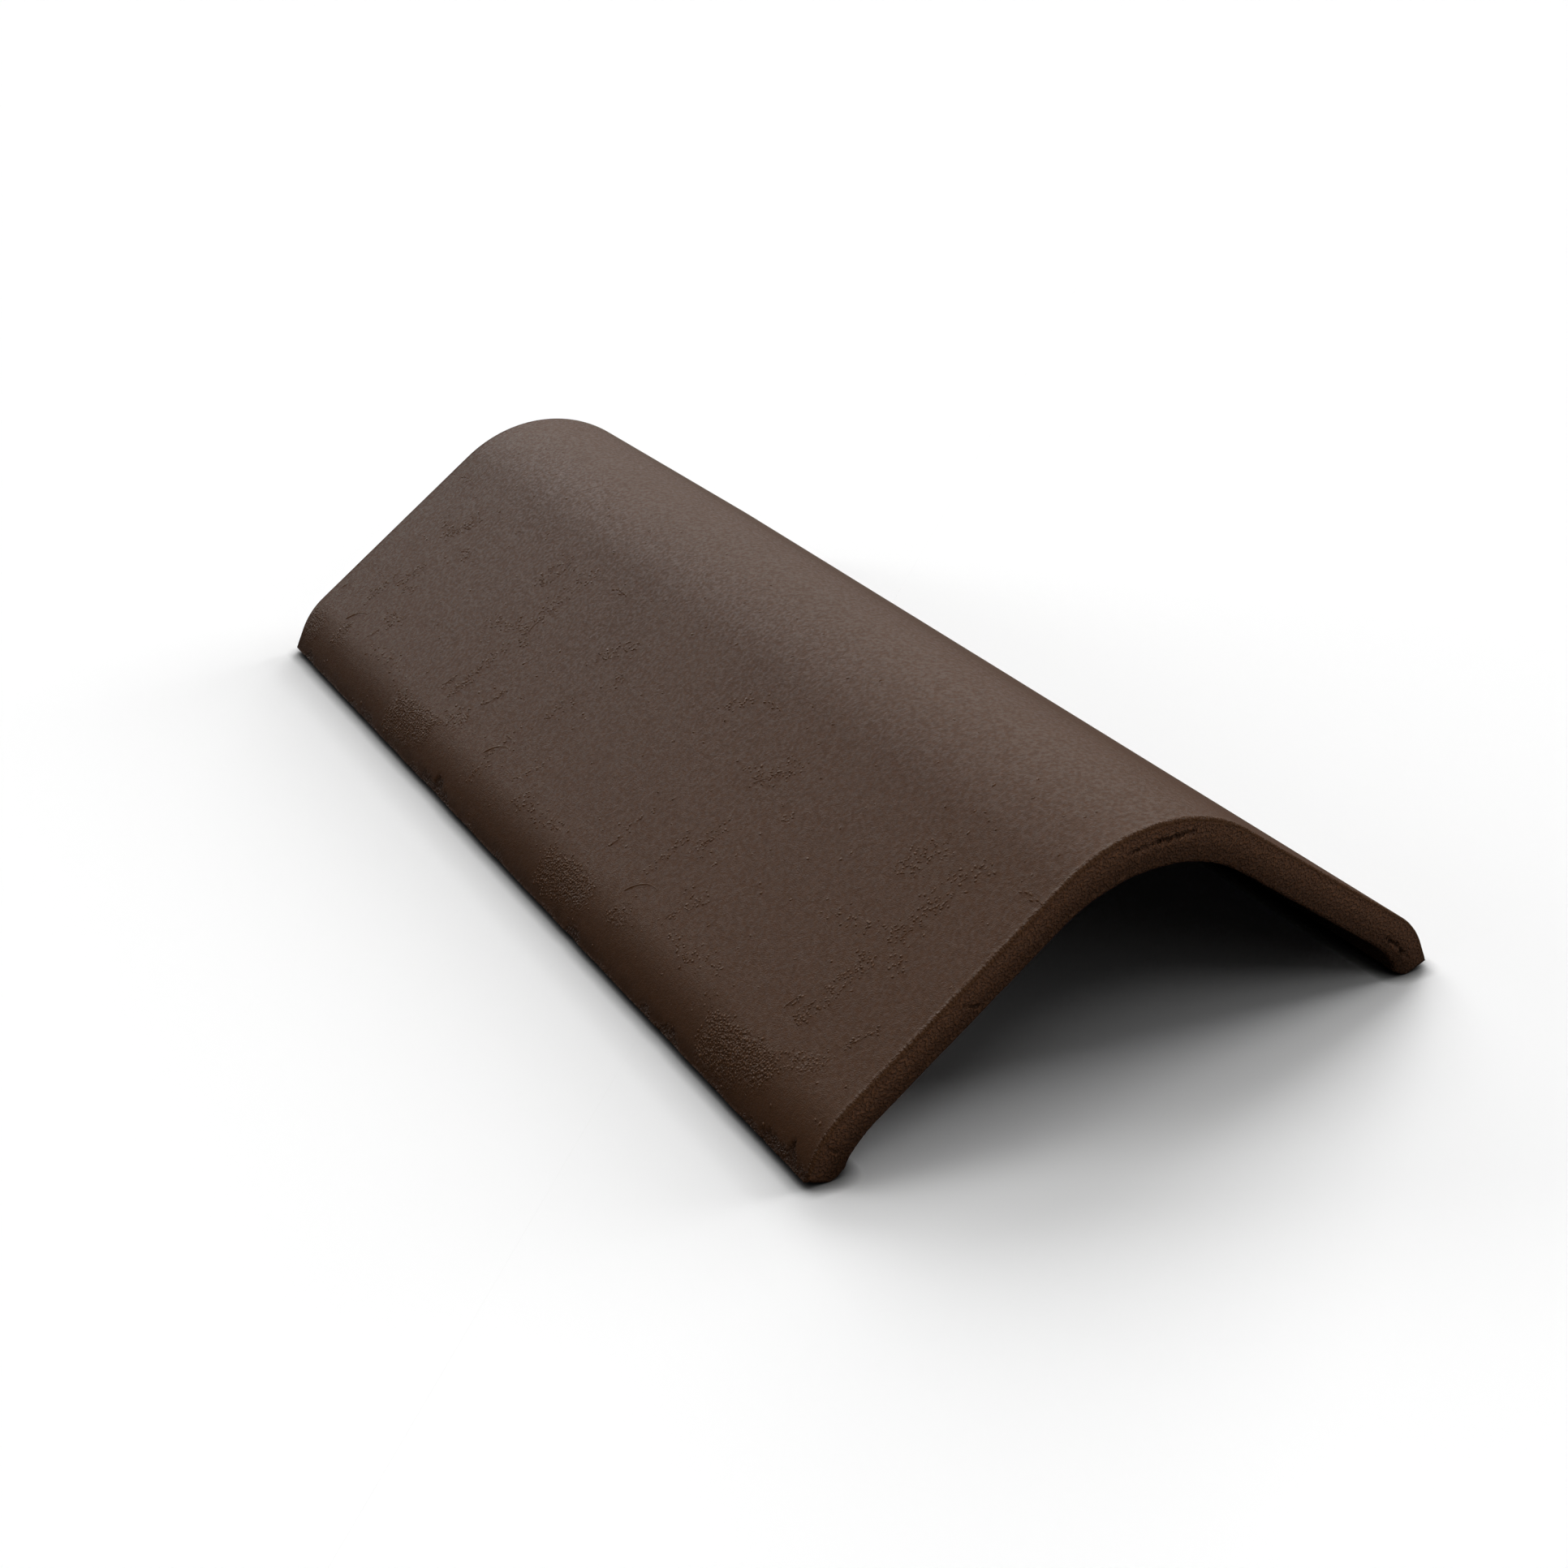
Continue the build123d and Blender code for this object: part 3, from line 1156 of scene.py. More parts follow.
class Nodes:
    """Short-hand for building one node tree.

    Attributes:
        gap: distance between two nodes in the editor.
    """

    gap: float = 220.0

    def __init__(self, tree: bpy.types.NodeTree) -> None:
        """Empties the tree and keeps it."""
        self.tree = tree
        tree.nodes.clear()
        self.column = 0

    def add(self, kind: str, inputs: dict | None = None, **settings: object) -> bpy.types.Node:
        """Adds a node.

        Args:
            kind: the node's type name.
            inputs: for each input's name or number, a value or an output socket to join to it.
            settings: the node's own properties.

        Returns:
            The new node.
        """
        node = self.tree.nodes.new(kind)
        node.location = (self.gap * self.column, 0.0)
        self.column += 1
        for name, value in settings.items():
            setattr(node, name, value)
        for name, value in (inputs or {}).items():
            if isinstance(value, bpy.types.NodeSocket):
                self.tree.links.new(value, node.inputs[name])
            else:
                node.inputs[name].default_value = value
        return node

    def math(self, operation: str, first: object, second: object) -> bpy.types.NodeSocket:
        """Adds a sum on two numbers and gives its result."""
        return self.add("ShaderNodeMath", {0: first, 1: second}, operation=operation).outputs[0]

    def mix(self, factor: object, first: object, second: object) -> bpy.types.NodeSocket:
        """Mixes two colours and gives the result."""
        node = self.add("ShaderNodeMix", {0: factor, 6: first, 7: second}, data_type="RGBA")
        return node.outputs[2]

    def ramp(
        self,
        value: object,
        reading: tuple[float, float],
        result: tuple[float, float] = (0.0, 1.0),
        **settings: object,
    ) -> bpy.types.NodeSocket:
        """Maps a value from one range to another.

        Args:
            value: what is mapped.
            reading: the values that give the start and the end of the result.
            result: the start and the end of the result.
            settings: the node's own properties.

        Returns:
            The mapped value.
        """
        inputs = {"Value": value, "From Min": reading[0], "From Max": reading[1]}
        inputs |= {"To Min": result[0], "To Max": result[1]}
        return self.add("ShaderNodeMapRange", inputs, **settings).outputs["Result"]

    def noise(self, place: object, scale: object, detail: float, **shape: float) -> bpy.types.NodeSocket:
        """Adds cloudy noise and gives its value.

        Args:
            place: where the noise is read.
            scale: lumps for each metre.
            detail: how many finer layers are added.
            shape: the noise's roughness and distortion.

        Returns:
            The noise's value.
        """
        inputs = {"Vector": place, "Scale": scale, "Detail": detail}
        inputs |= {name.capitalize(): value for name, value in shape.items()}
        return self.add("ShaderNodeTexNoise", inputs).outputs["Fac"]

    def attribute(self, name: str) -> bpy.types.NodeSocket:
        """Reads a value that a mesh keeps for each of its points, in a shader."""
        return self.add("ShaderNodeAttribute", attribute_name=name).outputs["Fac"]

    def named(self, name: str) -> bpy.types.NodeSocket:
        """Reads such a value in geometry nodes."""
        return self.add("GeometryNodeInputNamedAttribute", {"Name": name}, data_type="FLOAT").outputs[0]

    def seen(self) -> bpy.types.NodeSocket:
        """Gives 1 for the camera's rays and rays through clear parts, and 0 for all others."""
        rays = self.add("ShaderNodeLightPath").outputs
        return self.math("MAXIMUM", rays["Is Camera Ray"], rays["Is Transmission Ray"])


def add_socket(tree: bpy.types.NodeTree, name: str, kind: str, outward: bool, value: object = None) -> None:
    """Adds a named input or output to a node group.

    Args:
        tree: the group.
        name: the socket's name.
        kind: the socket's type name.
        outward: whether it is an output.
        value: its value where nothing is joined.
    """
    in_out = "OUTPUT" if outward else "INPUT"
    socket = tree.interface.new_socket(name=name, in_out=in_out, socket_type="NodeSocket" + kind)
    if value is not None:
        socket.default_value = value


@dataclass(frozen=True)
class SandyGrain:
    """Sandy grain shared by every concrete surface. Sizes are in metres.

    Attributes:
        grain_size: size of the grains, unless a finish says another.
        wrinkle_size: size of the wrinkles of a raw face, unless a finish says another.
        grain_detail: finer layers of the grain.
        grain_roughness: how strong those layers are.
        mottle_size: size of the coarser mottle, as a multiple of the grain's.
        mottle_share: height of the mottle, as a share of the grain's.
        plain_detail: finer layers of the mottle and the wrinkles.
        wrinkle_roughness: how strong the wrinkles' layers are.
        wrinkle_twist: how much the wrinkles are distorted.
        wrinkle_range: noise values of the wrinkles' floor and of their top.
        slow: scale, detail and share of the slow changes of tone.
        speck: scale, detail and share of the specks of tone.
    """

    grain_size: float = 0.45 * MM
    wrinkle_size: float = 0.90 * MM
    grain_detail: float = 1.5
    grain_roughness: float = 0.6
    mottle_size: float = 3.2
    mottle_share: float = 0.5
    plain_detail: float = 1.0
    wrinkle_roughness: float = 0.5
    wrinkle_twist: float = 0.4
    wrinkle_range: tuple[float, float] = (0.30, 0.66)
    slow: tuple[float, float, float] = (16.0, 5.0, 0.2)
    speck: tuple[float, float, float] = (700.0, 2.0, 0.8)

    def group(self) -> bpy.types.NodeTree:
        """The group: heights of the grain, the wrinkles and the mottle, and a tone."""
        tree = bpy.data.node_groups.new("sandy_grain", "ShaderNodeTree")
        add_socket(tree, "Grain Size", "Float", False, self.grain_size)
        add_socket(tree, "Wrinkle Size", "Float", False, self.wrinkle_size)
        for name in ("Grain", "Wrinkles", "Mottle", "Tone"):
            add_socket(tree, name, "Float", True)
        nodes = Nodes(tree)
        given = nodes.add("NodeGroupInput").outputs
        place = nodes.add("ShaderNodeTexCoord").outputs["Object"]
        grain_scale = nodes.math("DIVIDE", 1.0, given["Grain Size"])
        grain = nodes.noise(place, grain_scale, self.grain_detail, roughness=self.grain_roughness)
        mottle_scale = nodes.math("DIVIDE", grain_scale, self.mottle_size)
        mottle = nodes.noise(place, mottle_scale, self.plain_detail)
        grain = nodes.math("ADD", grain, nodes.math("MULTIPLY", mottle, self.mottle_share))
        wrinkle_scale = nodes.math("DIVIDE", 1.0, given["Wrinkle Size"])
        wrinkles = nodes.noise(
            place,
            wrinkle_scale,
            self.plain_detail,
            roughness=self.wrinkle_roughness,
            distortion=self.wrinkle_twist,
        )
        wrinkles = nodes.ramp(wrinkles, self.wrinkle_range, interpolation_type="SMOOTHSTEP")
        slow = nodes.noise(place, *self.slow[:2])
        speck = nodes.noise(place, *self.speck[:2])
        slow_part = nodes.math("MULTIPLY", slow, self.slow[2])
        tone = nodes.math("ADD", slow_part, nodes.math("MULTIPLY", speck, self.speck[2]))
        nodes.add("NodeGroupOutput", {"Grain": grain, "Wrinkles": wrinkles, "Mottle": mottle, "Tone": tone})
        return tree


@dataclass(frozen=True)
class RimNubs:
    """Slanting stitch-like nubs that the mould leaves along the rim of a cut end.

    Attributes:
        pitch: distance between two nubs, in metres.
        sway_scale: lumps for each metre of the noise that makes them uneven.
        sway_detail: its finer layers.
        sway: how far it moves them, in pitches.
        wave_range: heights of the wave where a nub starts and where it is whole.
    """

    pitch: float = 1.3 * MM
    sway_scale: float = 500.0
    sway_detail: float = 1.0
    sway: float = 1.8
    wave_range: tuple[float, float] = (-0.4, 0.9)

    def group(self) -> bpy.types.NodeTree:
        """The group, which gives the nubs as one mask."""
        tree = bpy.data.node_groups.new("rim_nubs", "ShaderNodeTree")
        add_socket(tree, "Pitch", "Float", False, self.pitch)
        add_socket(tree, "Mask", "Float", True)
        nodes = Nodes(tree)
        given = nodes.add("NodeGroupInput").outputs
        rim = nodes.attribute("rim")
        girth = nodes.attribute("girth")
        place = nodes.add("ShaderNodeTexCoord").outputs["Object"]
        sway = nodes.noise(place, self.sway_scale, self.sway_detail)
        pitches = nodes.math("DIVIDE", girth, given["Pitch"])
        turns = nodes.math("ADD", pitches, nodes.math("MULTIPLY", sway, self.sway))
        wave = nodes.math("SINE", nodes.math("MULTIPLY", turns, math.tau), 0.0)
        nub = nodes.ramp(wave, self.wave_range)
        nodes.add("NodeGroupOutput", {"Mask": nodes.math("MULTIPLY", nub, rim)})
        return tree


@dataclass(frozen=True)
class ConcreteFinish:
    """Through-coloured concrete with a sealed outer face and raw, coarse broken faces.

    Attributes:
        name: the material's name.
        sealed: colour of the sealed face.
        sealed_dark: colour of its darker patches.
        raw: colour of the cut ends and chips.
        raw_hollow_shade: colour of their hollows, darkened by painted shade.
        nub_highlight: painted highlight colour on the nubs of the rims.
        grain_size: size of the finest grains, in metres.
        grain_depth: depth of the grain, in metres.
        wrinkle_depth: depth of the wrinkles on the raw faces, in metres.
        patch_share: how deep the wrinkles are in the leathery patches, as a share of those on the raw faces.
        nub_depth: height of the rim's nubs, in metres.
        roughness: lowest and highest roughness.
        gloss: strength of the reflection on the sealed face.
        raw_gloss: strength of the reflection on the raw faces.
        glint: tint of the reflection where it is looked at squarely.
        density: refractive index of the surface.
        tone_range: tones of the darkest and of the lightest sealed face.
        hollow_shade_range: wrinkle heights where the painted shade in the raw hollows is deepest and where it
            is gone.
        mottle_range: mottle heights of the highest and of the lowest roughness.
        nub_highlight_share: how much of the painted highlight colour the rim's nubs take.
        rim_share: how deep the wrinkles are on the rims, as a share of those on the raw faces.
    """

    name: str
    sealed: tuple[float, float, float] = (0.067, 0.0204, 0.0016)
    sealed_dark: tuple[float, float, float] = (0.055, 0.0164, 0.0008)
    raw: tuple[float, float, float] = (0.112, 0.0360, 0.0068)
    raw_hollow_shade: tuple[float, float, float] = (0.078, 0.0230, 0.0036)
    nub_highlight: tuple[float, float, float] = (0.130, 0.058, 0.0200)
    grain_size: float = 0.40 * MM
    grain_depth: float = 0.17 * MM
    wrinkle_depth: float = 0.80 * MM
    patch_share: float = 0.40
    nub_depth: float = 0.16 * MM
    roughness: tuple[float, float] = (0.60, 0.75)
    gloss: float = 0.36
    raw_gloss: float = 0.70
    glint: tuple[float, float, float] = (1.0, 0.95, 0.86)
    density: float = 1.5
    tone_range: tuple[float, float] = (0.38, 0.62)
    hollow_shade_range: tuple[float, float] = (0.15, 0.85)
    mottle_range: tuple[float, float] = (0.35, 0.65)
    nub_highlight_share: float = 0.28
    rim_share: float = 0.6

    def material(self, grain: bpy.types.NodeTree, nubs: bpy.types.NodeTree) -> bpy.types.Material:
        """Builds the material around the shared groups.

        Args:
            grain: the group that gives the grain and the wrinkles.
            nubs: the group that gives the rim's nubs.

        Returns:
            The new material.
        """
        material = bpy.data.materials.new(self.name)
        material.use_nodes = True
        nodes = Nodes(material.node_tree)
        raw = nodes.attribute("raw")
        sand = nodes.add("ShaderNodeGroup", node_tree=grain)
        sand.inputs["Grain Size"].default_value = self.grain_size
        rim = nodes.add("ShaderNodeGroup", node_tree=nubs).outputs["Mask"]
        tone = nodes.ramp(sand.outputs["Tone"], self.tone_range)
        # Painted shade: the raw colour darkens in the hollows of the wrinkles
        hollow = nodes.ramp(sand.outputs["Wrinkles"], self.hollow_shade_range)
        sealed = nodes.mix(tone, (*self.sealed_dark, 1.0), (*self.sealed, 1.0))
        broken = nodes.mix(hollow, (*self.raw_hollow_shade, 1.0), (*self.raw, 1.0))
        body = nodes.mix(raw, sealed, broken)
        # Painted highlight: a lighter colour on the rim's nubs, where the rounded edge catches the light
        nub_highlighted = nodes.mix(nodes.math("MULTIPLY", rim, self.nub_highlight_share), body, (*self.nub_highlight, 1.0))
        # Painted shade from the mesh darkens both the colour and the reflection
        painted_shade = nodes.attribute("painted_shade")
        colour = nodes.mix(painted_shade, nub_highlighted, BLACK)
        shine = nodes.ramp(raw, (0.0, 1.0), (self.gloss, self.raw_gloss))
        gloss = nodes.math("MULTIPLY", nodes.math("SUBTRACT", 1.0, painted_shade), shine)
        low, high = self.roughness
        roughness = nodes.ramp(sand.outputs["Mottle"], self.mottle_range, (high, low))
        grain_height = nodes.math("MULTIPLY", sand.outputs["Grain"], self.grain_depth)
        wrinkle_height = nodes.math("MULTIPLY", sand.outputs["Wrinkles"], self.wrinkle_depth)
        patches = nodes.attribute("nubs")
        edge = nodes.attribute("rim")
        leathery = nodes.math("MAXIMUM", raw, nodes.math("MULTIPLY", patches, self.patch_share))
        leathery = nodes.math("MAXIMUM", leathery, nodes.math("MULTIPLY", edge, self.rim_share))
        wrinkle_height = nodes.math("MULTIPLY", wrinkle_height, leathery)
        nub_height = nodes.math("MULTIPLY", rim, self.nub_depth)
        height = nodes.math("ADD", nodes.math("ADD", grain_height, wrinkle_height), nub_height)
        bump = nodes.add("ShaderNodeBump", {"Height": height, "Distance": 1.0, "Strength": 1.0})
        shader = nodes.add(
            "ShaderNodeBsdfPrincipled",
            {
                "Base Color": colour,
                "Roughness": roughness,
                "Normal": bump.outputs["Normal"],
                "IOR": self.density,
                "Specular IOR Level": gloss,
                "Specular Tint": (*self.glint, 1.0),
            },
        )
        nodes.add("ShaderNodeOutputMaterial", {"Surface": shader.outputs[0]})
        return material


@dataclass(frozen=True)
class SurfaceCrumbs:
    """Sand grains and crumbs stuck in one slope of the outer face, crowded along the streaks.

    Attributes:
        face: the outer face that carries them.
        side: the slope that they lie on.
        highest: how far up the slope the streaks reach, in millimetres.
        spacing: least distance between two crumbs, in metres.
        crowd: crumbs for each square metre where a streak is thickest.
        stray: share of the thickest crowd that lies everywhere.
        smallest: half sizes of the smallest crumb.
        largest: half sizes of the largest crumb.
        sheet_step: distance between two points of the sheet that carries the scatter, in millimetres.
        top_fade: how far below their highest place the streaks thin out, in millimetres.
        back_fade: distances from the back end where the crumbs start and where they are whole.
        front_fade: the same from the front end.
        foot_fade: the same up from the foot.
        first_seed: number that the scatter's draws start from.
    """

    face: OuterFace
    side: Side
    highest: float
    spacing: float = 0.75 * MM
    crowd: float = 1.5e6
    stray: float = 0.006
    smallest: tuple[float, float, float] = (0.34 * MM, 0.30 * MM, 0.06 * MM)
    largest: tuple[float, float, float] = (0.86 * MM, 0.62 * MM, 0.15 * MM)
    sheet_step: float = 1.1
    top_fade: float = 4.0
    back_fade: tuple[float, float] = (6.0, 34.0)
    front_fade: tuple[float, float] = (1.5, 3.0)
    foot_fade: tuple[float, float] = (1.0, 3.0)
    first_seed: int = 7

    def amount(self, along: np.ndarray, up: np.ndarray) -> np.ndarray:
        """How crowded the crumbs are at distances from the front end and up from the foot, from 0 to 1."""
        reached = 1.0 - smooth_step(self.highest - self.top_fade, self.highest, up)
        density = np.maximum(crowding(STREAKS, along, up), self.stray) * reached
        from_back = self.face.section.length / MM - along
        density *= smooth_step(*self.back_fade, from_back)
        return density * smooth_step(*self.front_fade, along) * smooth_step(*self.foot_fade, up)

    def sheet(self) -> bpy.types.Mesh:
        """Plain sheet over the slope, with the crowding as an attribute named grit."""
        length = self.face.section.length / MM
        half = self.face.girth() / 2.0
        columns = round(half / self.sheet_step)
        rows = round(length / self.sheet_step)
        ups = np.linspace(0.0, half, columns + 1)
        alongs = np.linspace(0.0, length, rows + 1)
        up, along = np.meshgrid(ups, alongs, indexing="ij")
        places = self.face.place(along.ravel(), up.ravel(), self.side)
        index = np.arange(up.size).reshape(up.shape)
        corners = (index[:-1, :-1], index[1:, :-1], index[1:, 1:], index[:-1, 1:])
        quads = np.stack([corner.ravel() for corner in corners], axis=1)
        mesh = bpy.data.meshes.new("crumb_sheet")
        mesh.from_pydata(places.tolist(), [], quads.tolist())
        add_layer(mesh, "grit", self.amount(along.ravel(), up.ravel()))
        return mesh

    @staticmethod
    def tree() -> bpy.types.NodeTree:
        """The geometry nodes that scatter the crumbs over a sheet."""
        tree = bpy.data.node_groups.new("scatter_crumbs", "GeometryNodeTree")
        add_socket(tree, "Sheet", "Geometry", False)
        for name in ("Spacing", "Crowd"):
            add_socket(tree, name, "Float", False)
        for name in ("Smallest", "Largest"):
            add_socket(tree, name, "Vector", False)
        add_socket(tree, "Seed", "Int", False)
        add_finish_sockets(tree)
        nodes = Nodes(tree)
        given = nodes.add("NodeGroupInput").outputs
        grit = nodes.named("grit")
        points = nodes.add(
            "GeometryNodeDistributePointsOnFaces",
            {
                "Mesh": given["Sheet"],
                "Distance Min": given["Spacing"],
                "Density Max": given["Crowd"],
                "Density Factor": grit,
                "Seed": given["Seed"],
            },
            distribute_method="POISSON",
        )
        shape = nodes.add("GeometryNodeMeshIcoSphere", {"Radius": 1.0, "Subdivisions": 1}).outputs["Mesh"]
        spin = nodes.add(
            "FunctionNodeRandomValue", {2: -math.pi, 3: math.pi, "Seed": given["Seed"]}, data_type="FLOAT"
        ).outputs[1]
        upright = {"Axis": (0.0, 0.0, 1.0), "Angle": spin}
        about = nodes.add("FunctionNodeAxisAngleToRotation", upright).outputs[0]
        turned = nodes.add(
            "FunctionNodeRotateRotation",
            {"Rotation": points.outputs["Rotation"], "Rotate By": about},
            rotation_space="LOCAL",
        ).outputs[0]
        size = nodes.add(
            "FunctionNodeRandomValue",
            {0: given["Smallest"], 1: given["Largest"], "Seed": given["Seed"]},
            data_type="FLOAT_VECTOR",
        ).outputs[0]
        placed = nodes.add(
            "GeometryNodeInstanceOnPoints",
            {"Points": points.outputs["Points"], "Instance": shape, "Rotation": turned, "Scale": size},
        ).outputs[0]
        real = nodes.add("GeometryNodeRealizeInstances", {"Geometry": placed}).outputs[0]
        finish_relief(nodes, real, given)
        return tree

    def build(self, tree: bpy.types.NodeTree, finish: bpy.types.Material) -> bpy.types.Object:
        """Scatters the crumbs and makes them one plain mesh.

        Args:
            tree: the geometry nodes that scatter them.
            finish: their material.

        Returns:
            The crumbs of this slope.
        """
        values = {
            "Spacing": self.spacing,
            "Crowd": self.crowd,
            "Smallest": self.smallest,
            "Largest": self.largest,
            "Seed": self.first_seed + self.side.value,
            "Finish": finish,
        }
        return grown_mesh("surface_crumbs_" + self.side.name.lower(), self.sheet(), tree, values)


@dataclass(frozen=True)
class BurrLines:
    """Thin raised lines and wavy marks that the mould's release left in one slope of the outer face.

    Attributes:
        face: the outer face that carries them.
        side: the slope that they lie on.
        point_step: distance between two points of a line, in millimetres.
        fewest: least number of points in a line.
        bend: greatest power in the curve that joins a line's points.
        swell: share of the line where it starts to thicken and where it is thickest.
        tips: share of the line over which its start and its end are drawn out thin.
        blunt: how blunt both tips are, as a share of the line.
        sunk: how deep the line's middle lies below the face, as a share of half its width.
    """

    face: OuterFace
    side: Side
    point_step: float = 0.45
    fewest: int = 5
    bend: int = 3
    swell: tuple[float, float] = (0.2, 0.9)
    tips: tuple[float, float] = (0.15, 0.12)
    blunt: float = 0.04
    sunk: float = 0.4

    def route(self, burr: Burr, shift: float) -> tuple[np.ndarray, np.ndarray]:
        """One line's points, joined smoothly.

        Args:
            burr: the line.
            shift: how far along the tile its pattern is moved, in millimetres.

        Returns:
            The points in metres, and half of the line's width at each, in metres.
        """
        knots = np.array(burr.route) + (shift, 0.0)
        at = distances_along(knots)
        count = max(self.fewest, round(at[-1] / self.point_step))
        t = np.linspace(0.0, at[-1], count)
        bend = np.polyfit(at, knots, min(self.bend, len(knots) - 1))
        smooth = np.stack([np.polyval(bend[:, axis], t) for axis in range(2)], axis=1)
        share = t / at[-1]
        width = burr.thin + (burr.thick - burr.thin) * smooth_step(*self.swell, share)
        first = smooth_step(0.0, self.tips[0], share + self.blunt)
        last = smooth_step(0.0, self.tips[1], 1.0 + self.blunt - share)
        width *= first * last
        return self.face.place(smooth[:, 0], smooth[:, 1], self.side, -self.sunk * width * MM), width * MM

    def skeleton(self) -> bpy.types.Mesh:
        """The lines as edges, with half of their width as an attribute named width."""
        places: list[np.ndarray] = []
        widths: list[np.ndarray] = []
        edges: list[tuple[int, int]] = []
        start = 0
        length = self.face.section.length / MM
        for turn in range(PATTERN_TURNS):
            for burr in BURRS + WAVY_MARKS:
                shift = turn * PATTERN_REPEAT
                if burr.route[-1][0] + shift > length:
                    continue
                place, width = self.route(burr, shift)
                places.append(place)
                widths.append(width)
                edges += [(start + i, start + i + 1) for i in range(len(place) - 1)]
                start += len(place)
        mesh = bpy.data.meshes.new("burr_skeleton")
        mesh.from_pydata(np.concatenate(places).tolist(), edges, [])
        add_layer(mesh, "width", np.concatenate(widths))
        return mesh

    @staticmethod
    def tree() -> bpy.types.NodeTree:
        """The geometry nodes that give the lines their round, uneven body."""
        tree = bpy.data.node_groups.new("swell_burrs", "GeometryNodeTree")
        add_socket(tree, "Skeleton", "Geometry", False)
        add_finish_sockets(tree)
        nodes = Nodes(tree)
        given = nodes.add("NodeGroupInput").outputs
        curve = nodes.add("GeometryNodeMeshToCurve", {0: given["Skeleton"]}).outputs[0]
        width = nodes.named("width")
        sides = {"Resolution": 6, "Radius": 1.0}
        ring = nodes.add("GeometryNodeCurvePrimitiveCircle", sides).outputs["Curve"]
        swept = {"Curve": curve, "Profile Curve": ring, "Fill Caps": True, "Scale": width}
        tube = nodes.add("GeometryNodeCurveToMesh", swept)
        finish_relief(nodes, tube.outputs[0], given)
        return tree

    def build(self, tree: bpy.types.NodeTree, finish: bpy.types.Material) -> bpy.types.Object:
        """Makes the lines of this slope one plain mesh.

        Args:
            tree: the geometry nodes that give them their body.
            finish: their material.

        Returns:
            The lines of this slope.
        """
        name = "burr_lines_" + self.side.name.lower()
        return grown_mesh(name, self.skeleton(), tree, {"Finish": finish})


UNEVENNESS = 0.35 * MM  # how far the crumbs and burrs are pushed out of shape
LUMPS = {"Scale": 1500.0, "Detail": 1.0}  # the noise that pushes them


def add_finish_sockets(tree: bpy.types.NodeTree) -> None:
    """Adds the sockets that finish_relief reads, and the tree's result."""
    add_socket(tree, "Lowest", "Vector", False, tuple(cad_bounds[0]))
    add_socket(tree, "Highest", "Vector", False, tuple(cad_bounds[1]))
    add_socket(tree, "Unevenness", "Float", False, UNEVENNESS)
    add_socket(tree, "Finish", "Material", False)
    add_socket(tree, "Relief", "Geometry", True)


def finish_relief(nodes: Nodes, real: bpy.types.NodeSocket, given: bpy.types.NodeOutputs) -> None:
    """Makes small relief uneven, keeps it in the tile's box, gives it its finish and ends the tree.

    Args:
        nodes: the tree's nodes.
        real: the relief's mesh.
        given: the tree's inputs.
    """
    lump = nodes.add("ShaderNodeTexNoise", LUMPS).outputs["Color"]

    def vector(operation: str, inputs: dict) -> bpy.types.NodeSocket:
        """Adds a sum on vectors and gives its result."""
        return nodes.add("ShaderNodeVectorMath", inputs, operation=operation).outputs[0]

    centred = vector("SUBTRACT", {0: lump, 1: (0.5, 0.5, 0.5)})
    push = vector("SCALE", {0: centred, "Scale": given["Unevenness"]})
    uneven = nodes.add("GeometryNodeSetPosition", {"Geometry": real, "Offset": push}).outputs[0]
    place = nodes.add("GeometryNodeInputPosition").outputs[0]
    above = vector("MAXIMUM", {0: place, 1: given["Lowest"]})
    within = vector("MINIMUM", {0: above, 1: given["Highest"]})
    kept = nodes.add("GeometryNodeSetPosition", {"Geometry": uneven, "Position": within}).outputs[0]
    soft = nodes.add("GeometryNodeSetShadeSmooth", {"Geometry": kept, "Shade Smooth": True}).outputs[0]
    dressed = nodes.add("GeometryNodeSetMaterial", {"Geometry": soft, "Material": given["Finish"]}).outputs[0]
    nodes.add("NodeGroupOutput", {0: dressed})


def grown_mesh(
    name: str, seedbed: bpy.types.ID, tree: bpy.types.NodeTree, values: dict[str, object]
) -> bpy.types.Object:
    """Runs a geometry node tree on an object and keeps the result as a plain mesh object.

    Args:
        name: name of the new object.
        seedbed: mesh or curve that the tree starts from.
        tree: the geometry nodes.
        values: a value for each named input.

    Returns:
        The new object, with no modifier.
    """
    start = bpy.data.objects.new(name + "_start", seedbed)
    bpy.context.scene.collection.objects.link(start)
    modifier = start.modifiers.new("grow", "NODES")
    modifier.node_group = tree
    for item in tree.interface.items_tree:
        if item.in_out == "INPUT" and item.name in values:
            modifier[item.identifier] = values[item.name]
    bpy.context.view_layer.update()
    settled = start.evaluated_get(bpy.context.evaluated_depsgraph_get())
    mesh = bpy.data.meshes.new_from_object(settled)
    mesh.name = name
    for slot in reversed(range(len(mesh.materials))):
        if mesh.materials[slot] is None:
            mesh.materials.pop(index=slot)
    result = bpy.data.objects.new(name, mesh)
    bpy.context.scene.collection.objects.link(result)
    bpy.data.objects.remove(start)
    return result


class Lights(Enum):
    """What a lamp lights: everything but the floor, or the floor alone."""

    TILE = "tile"
    FLOOR = "floor"


